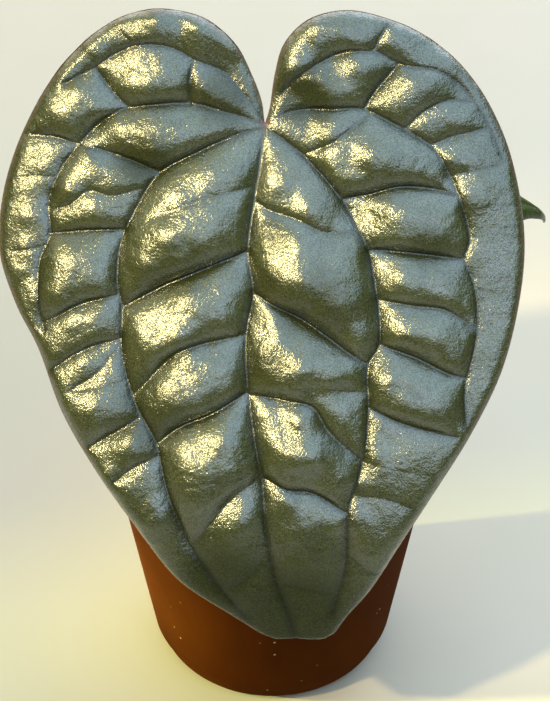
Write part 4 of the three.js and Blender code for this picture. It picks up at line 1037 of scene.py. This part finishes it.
def build_pot():
    profile = pot_profile()
    points = lathe_points(profile, POT_SIDES)
    pot = mesh_object("pot_shell", points, capped_faces(len(profile), POT_SIDES))
    cutter = drain_cutter()
    cut = pot.modifiers.new("drain", "BOOLEAN")
    cut.operation = "DIFFERENCE"
    cut.solver = "EXACT"
    cut.object = cutter
    depsgraph = bpy.context.evaluated_depsgraph_get()
    holed = bpy.data.meshes.new_from_object(pot.evaluated_get(depsgraph))
    pot.modifiers.clear()
    pot.data = holed
    bpy.data.objects.remove(cutter)
    finish_piece(pot, pot_material(), "pot", "pot")


# Potting mix


MIX_RADIUS = wall_radius(MIX_TOP) - POT_WALL - GAP

# Single pieces on the bed: how many, their half sizes, corners, and dark and light colours
MIX_KINDS = {
    "bark_chunks": (150, (6.5, 4.2, 2.6), 14, (0.03, 0.016, 0.009), (0.16, 0.085, 0.045)),
    "pumice_crumbs": (110, (2.3, 2.0, 1.7), 16, (0.3, 0.27, 0.22), (0.62, 0.58, 0.5)),
    "charcoal_bits": (45, (3.2, 2.6, 2.0), 12, (0.006, 0.006, 0.006), (0.03, 0.03, 0.03)),
}


def mix_level(radius):
    return MIX_TOP + MIX_DOME * (1 - (radius / MIX_RADIUS) ** 4) - MIX_SINK


def chunk(rng, at, size, corners):
    """A lump with flat faces: the hull of random points on a squashed ball."""
    lump = bmesh.new()
    spots = rng.normal(size=(corners, 3))
    spots /= np.linalg.norm(spots, axis=1)[:, None]
    turn = Matrix.Rotation(rng.uniform(0, 2 * math.pi), 3, "Z")
    turn = turn @ Matrix.Rotation(rng.normal(0, 0.45), 3, "X")
    for spot in spots:
        lump.verts.new(turn @ Vector(spot * size) + Vector(at))
    bmesh.ops.convex_hull(lump, input=lump.verts)
    loose = [vert for vert in lump.verts if not vert.link_faces]
    bmesh.ops.delete(lump, geom=loose, context="VERTS")
    bmesh.ops.bevel(lump, geom=lump.edges[:], offset=min(size) * 0.16, segments=1, affect="EDGES")
    return lump


def build_bed():
    """The fine mix: a lumpy top, a side that follows the pot's inside, and a flat base."""
    points = lathe_points([(MIX_RADIUS * i / MIX_RINGS, 0) for i in range(1, MIX_RINGS + 1)], MIX_SIDES)
    radii = np.hypot(points[:, 0], points[:, 1])
    lumps = np.array([noise.turbulence(Vector(p) / 5, 3, False) for p in points])
    points[:, 2] = mix_level(radii) + MIX_LUMPS * lumps * (1 - (radii / MIX_RADIUS) ** 8)
    heel = POT_HEEL - POT_WALL - GAP
    heel_centre = (POT_BASE_RADIUS - POT_HEEL, POT_FLOOR + GAP + heel)
    side = [(wall_radius(z) - POT_WALL - GAP, z) for z in np.linspace(MIX_TOP - 6, POT_HEEL + 2, 8)]
    side += arc(heel_centre, heel, -math.atan(POT_TAPER), -math.pi / 2, 8)
    centres = [[0, 0, points[:MIX_SIDES, 2].mean()], [0, 0, POT_FLOOR + GAP]]
    whole = np.vstack([points, lathe_points(side, MIX_SIDES), centres])
    rows = MIX_RINGS + len(side)
    first, last, start = len(whole) - 2, len(whole) - 1, (rows - 1) * MIX_SIDES
    faces = grid_faces(rows, MIX_SIDES, closed=True)
    faces += [(first, (k + 1) % MIX_SIDES, k) for k in range(MIX_SIDES)]
    faces += [(last, start + k, start + (k + 1) % MIX_SIDES) for k in range(MIX_SIDES)]
    bed = mesh_object("mix_bed", whole, faces)
    soil = bark_material("fine_bark", (0.018, 0.011, 0.007), (0.06, 0.035, 0.02), 2.5)
    finish_piece(bed, soil, "potting_mix", "potting_mix")


def build_chunks():
    """Bark, pumice and charcoal strewn over the bed, clear of the pot's wall and the crown."""
    rng = np.random.default_rng(SEED)
    for name, (count, size, corners, dark, light) in MIX_KINDS.items():
        lumps = []
        while len(lumps) < count:
            reach = (MIX_RADIUS - size[0]) * math.sqrt(rng.random())
            turn = rng.uniform(0, 2 * math.pi)
            x, y = reach * math.cos(turn), reach * math.sin(turn)
            scale = rng.uniform(0.55, 1.15)
            if math.hypot(x - CROWN_AT[0], y - CROWN_AT[1]) < CROWN_RADIUS + size[0] * scale * 0.7:
                continue
            z = mix_level(reach) + rng.uniform(0.2, 1.1) * size[2] * scale
            lumps.append(bmesh_object("lump", chunk(rng, (x, y, z), np.array(size) * scale, corners)))
        piece = join(name, lumps)
        piece.data.transform(Matrix.Scale(MM, 4))
        finish_piece(piece, bark_material(name, dark, light, 1.4), "potting_mix")


# Crown, roots, bracts and stalks


def build_crown():
    x, y = CROWN_AT
    profile = [(CROWN_RADIUS * 0.7, CROWN_FOOT), (CROWN_RADIUS * 0.86, CROWN_FOOT + 10)]
    for z in np.arange(CROWN_FOOT + 14, CROWN_TOP - 3, 0.7):
        ring = 0.35 * max(0, math.sin(z * 1.15)) ** 6
        swell = 0.92 + 0.08 * min(1, (z - CROWN_FOOT) / (ROOT_EXIT - CROWN_FOOT))
        profile.append((CROWN_RADIUS * swell - 0.4 + ring, z))
    shoulder = (CROWN_RADIUS - 0.4 - CROWN_ROUND, CROWN_TOP - CROWN_ROUND)
    profile += arc(shoulder, CROWN_ROUND, 0, math.pi / 2, 6)
    profile += [(2.5, CROWN_TOP - 0.2), (0.01, CROWN_TOP - 0.4)]
    points = wobbled(lathe_points(profile, CROWN_SIDES) + [x, y, 0], 0.2, [0.35, 0.35, 0.15])
    pieces = [mesh_object("crown_stem", points, capped_faces(len(profile), CROWN_SIDES))]
    for bearing in ROOT_BEARINGS:
        turn = math.radians(bearing)
        reaches = [(CROWN_RADIUS - 3, 0), (CROWN_RADIUS + 4, 0.5), (CROWN_RADIUS + 11, -5),
                   (CROWN_RADIUS + 14, -17), (CROWN_RADIUS + 14, -25)]
        path = [(x + out * math.cos(turn), y + out * math.sin(turn), ROOT_EXIT + rise)
                for out, rise in reaches]
        pieces.append(tube("root", path, lambda along, length, turns: ROOT_RADIUS - 0.15 + 0 * turns,
                           0.6, 16, wobble=0.25))
    bark = bark_material("crown_bark", (0.06, 0.05, 0.02), (0.2, 0.19, 0.09), 1.8)
    finish_piece(join("crown_and_roots", pieces), bark, "crown", "crown")


def cataphyll_point(shape, layer, rise, share, seed):
    """A point of a bract: rise goes from 0 at its foot to 1, share from -1 to 1 across it."""
    spread = shape["half_angle"] * (1 - rise ** 2.2) + 4 * (1 - rise) + 0.6
    fray = 1 - 0.06 * noise.noise(Vector((rise * 14, 0, seed)))
    turn = math.radians(shape["bearing"] + spread * share * fray)
    ripple = 0.25 * math.sin(share * 16 + 3 * rise) * rise
    radius = CROWN_RADIUS + GAP + layer + shape["flare"] * rise ** 1.6 + 0.3 + ripple
    return (CROWN_AT[0] + radius * math.cos(turn), CROWN_AT[1] + radius * math.sin(turn),
            CATAPHYLL_FOOT + shape["height"] * rise * (1 - 0.03 * share ** 2))


def build_cataphylls():
    material = fibre_material()
    rows, columns = CATAPHYLL_ROWS + 1, CATAPHYLL_COLUMNS + 1
    half = rows * columns
    outer = grid_faces(rows, columns, start=half)
    inner = [tuple(reversed(face)) for face in grid_faces(rows, columns)]
    loop = list(range(columns))
    loop += [row * columns + columns - 1 for row in range(1, rows)]
    loop += [(rows - 1) * columns + k for k in range(columns - 2, -1, -1)]
    loop += [row * columns for row in range(rows - 2, 0, -1)]
    rim = [(a, b, b + half, a + half) for a, b in zip(loop, loop[1:] + loop[:1])]
    for i, shape in enumerate(CATAPHYLLS):
        points = [cataphyll_point(shape, layer, row / CATAPHYLL_ROWS, 2 * k / CATAPHYLL_COLUMNS - 1, i)
                  for layer in CATAPHYLL_SKINS for row in range(rows) for k in range(columns)]
        piece = mesh_object(f"bract_{i + 1}", points, outer + inner + rim)
        finish_piece(piece, material, "cataphyll", f"cataphyll_{i + 1}")


MAIN_PATH = [(0.5, 5.5, 93), (0.3, 5, 104), (-0.4, 8.5, 128), (-1.2, 14.5, 156), (-1.8, 20.5, 178),
             (-2, 23, 190)]
SECOND_PATH = [(6.5, 11, 90), (9, 12.5, 100), (20, 18, 118), (36, 24.5, 137), (49, 28, 151)]


def build_petiole(name, path, size, blade, material, node):
    end = blade_place(blade, np.array([0.0]), np.array([PAD_V]), np.array([-(PAD_DEPTH + GAP / 2)]))[0]
    before = end - 4 * np.array(blade["frame"]["normal"])

    def radius_at(along, length, turns):
        sheath = (size["sheath"] - size["stalk"]) * max(0, 1 - along / SHEATH_LENGTH) ** 1.5
        to_end = length - along
        from_knee = (to_end - KNEE_LENGTH / 2) / (KNEE_LENGTH / 2.4)
        swell = (size["knee"] - size["stalk"]) * math.exp(-from_knee ** 2)
        ease = min(1, max(0, 1.5 - to_end) / 1.5)
        radius = size["stalk"] + sheath + swell + ease * (size["end"] - size["stalk"] - swell)
        ridges = 0.03 * np.cos(turns * 7) + 0.05 * np.cos(turns * 2)
        return radius * (1 + ridges * min(1, to_end / 10))

    piece = tube(name, [*path, before, end], radius_at, 0.9, 40, wobble=0.08)
    finish_piece(piece, material, "petiole", node)


# Stage, light and camera

LEAF_CENTRE = Vector((-0.017, -0.017, 0.172))
TO_SUN = Vector((-0.50, -0.43, 0.752))
SUN_DISTANCE = 2.2


def aimed_light(data, at, aim, power, colour):
    data.energy = power
    data.color = colour
    light = link_object(data.name, data)
    light.location = at
    light.rotation_euler = (Vector(aim) - Vector(at)).to_track_quat("-Z", "Y").to_euler()


def box_light(name, at, width, depth, radiance, colour):
    """A level rectangle that shines straight down."""
    data = bpy.data.lights.new(name, "AREA")
    data.shape = "RECTANGLE"
    data.size, data.size_y = width, depth
    aimed_light(data, at, Vector(at) - Vector((0, 0, 1)), math.pi * width * depth * radiance, colour)


def soft_box(name, at, width, depth, radiance, colour):
    """Three boxes, one under another, so that the light fades toward its edges."""
    for i, share in enumerate((0.85, 1, 1.15)):
        above = Vector(at) + Vector((0, 0, 0.01 * i))
        box_light(f"{name}_{i}", above, width * share, depth * share, radiance / 3, colour)


def spot_light(name, at, aim, radius, cone, power, colour):
    data = bpy.data.lights.new(name, "SPOT")
    data.shadow_soft_size = radius
    data.spot_size = cone
    data.spot_blend = 0.5
    aimed_light(data, at, aim, power, colour)


def build_stage():
    bpy.ops.mesh.primitive_plane_add(size=8, location=(0, 0, 0))
    floor = bpy.context.object
    floor.name = "floor"
    floor.data.materials.append(floor_material())
    spot_light("low_sun", LEAF_CENTRE + TO_SUN * SUN_DISTANCE, LEAF_CENTRE, 0.07, math.radians(6.2), 225,
               (1.0, 0.84, 0.38))
    soft_box("cool_box", (0.27, -0.05, 0.62), 0.8, 1.7, 1.85, (0.65, 0.95, 1.22))
    soft_box("warm_box", (-0.55, -0.05, 0.62), 0.84, 1.7, 0.85, (1.0, 1.02, 0.66))
    soft_box("front_box", (0.26, -0.68, 0.6), 0.56, 0.44, 1.1, (1.2, 1.1, 1.05))
    box_light("back_box", (0, 1.1, 0.9), 2.4, 1.2, 2.2, (1.0, 1.0, 1.0))
    spot_light("pot_glow", (-1.46, -0.14, 0.36), (-0.03, -0.01, 0.035), 0.05, math.radians(4.2), 335,
               (1.0, 1.12, 0.25))
    world = bpy.data.worlds.new("studio")
    world.use_nodes = True
    world.node_tree.nodes["Background"].inputs["Color"].default_value = (0.078, 0.078, 0.056, 1)
    bpy.context.scene.world = world


def build_camera():
    toward = Vector((0, -math.cos(VIEW_ELEVATION), math.sin(VIEW_ELEVATION)))
    data = bpy.data.cameras.new("camera")
    data.sensor_width = SENSOR
    data.lens = VIEW_DISTANCE / BLADE_PER_PIXEL / IMAGE_HEIGHT * SENSOR
    data.clip_start = 0.01
    camera = link_object("camera", data)
    camera.location = (Vector(VIEW_AIM) + VIEW_DISTANCE * toward) * MM
    camera.rotation_euler = (-toward).to_track_quat("-Z", "Y").to_euler()
    bpy.context.scene.camera = camera


noise.seed_set(SEED)  # without it noise_vector differs from run to run
build_camera()
build_stage()
build_pot()
build_bed()
build_chunks()
build_crown()
build_cataphylls()
skin = stalk_material()
build_petiole("petiole_large", MAIN_PATH, MAIN_PETIOLE, MAIN_BLADE, skin, "petiole_main")
build_petiole("petiole_small", SECOND_PATH, SECOND_PETIOLE, SECOND_BLADE, skin, "petiole_second")
old_leaf = blade_material("old_leaf", (0.022, 0.025, 0.006), (0.034, 0.038, 0.010), (0.12, 0.12, 0.07))
young_leaf = blade_material("young_leaf", (0.045, 0.068, 0.010), (0.075, 0.10, 0.018), (0.14, 0.17, 0.08))
build_blade("leaf_large", MAIN_BLADE, old_leaf, "blade", "blade_main")
build_blade("leaf_small", SECOND_BLADE, young_leaf, "young_blade", "blade_second")

bpy.context.scene.view_settings.view_transform = "Standard"
bpy.context.view_layer.update()
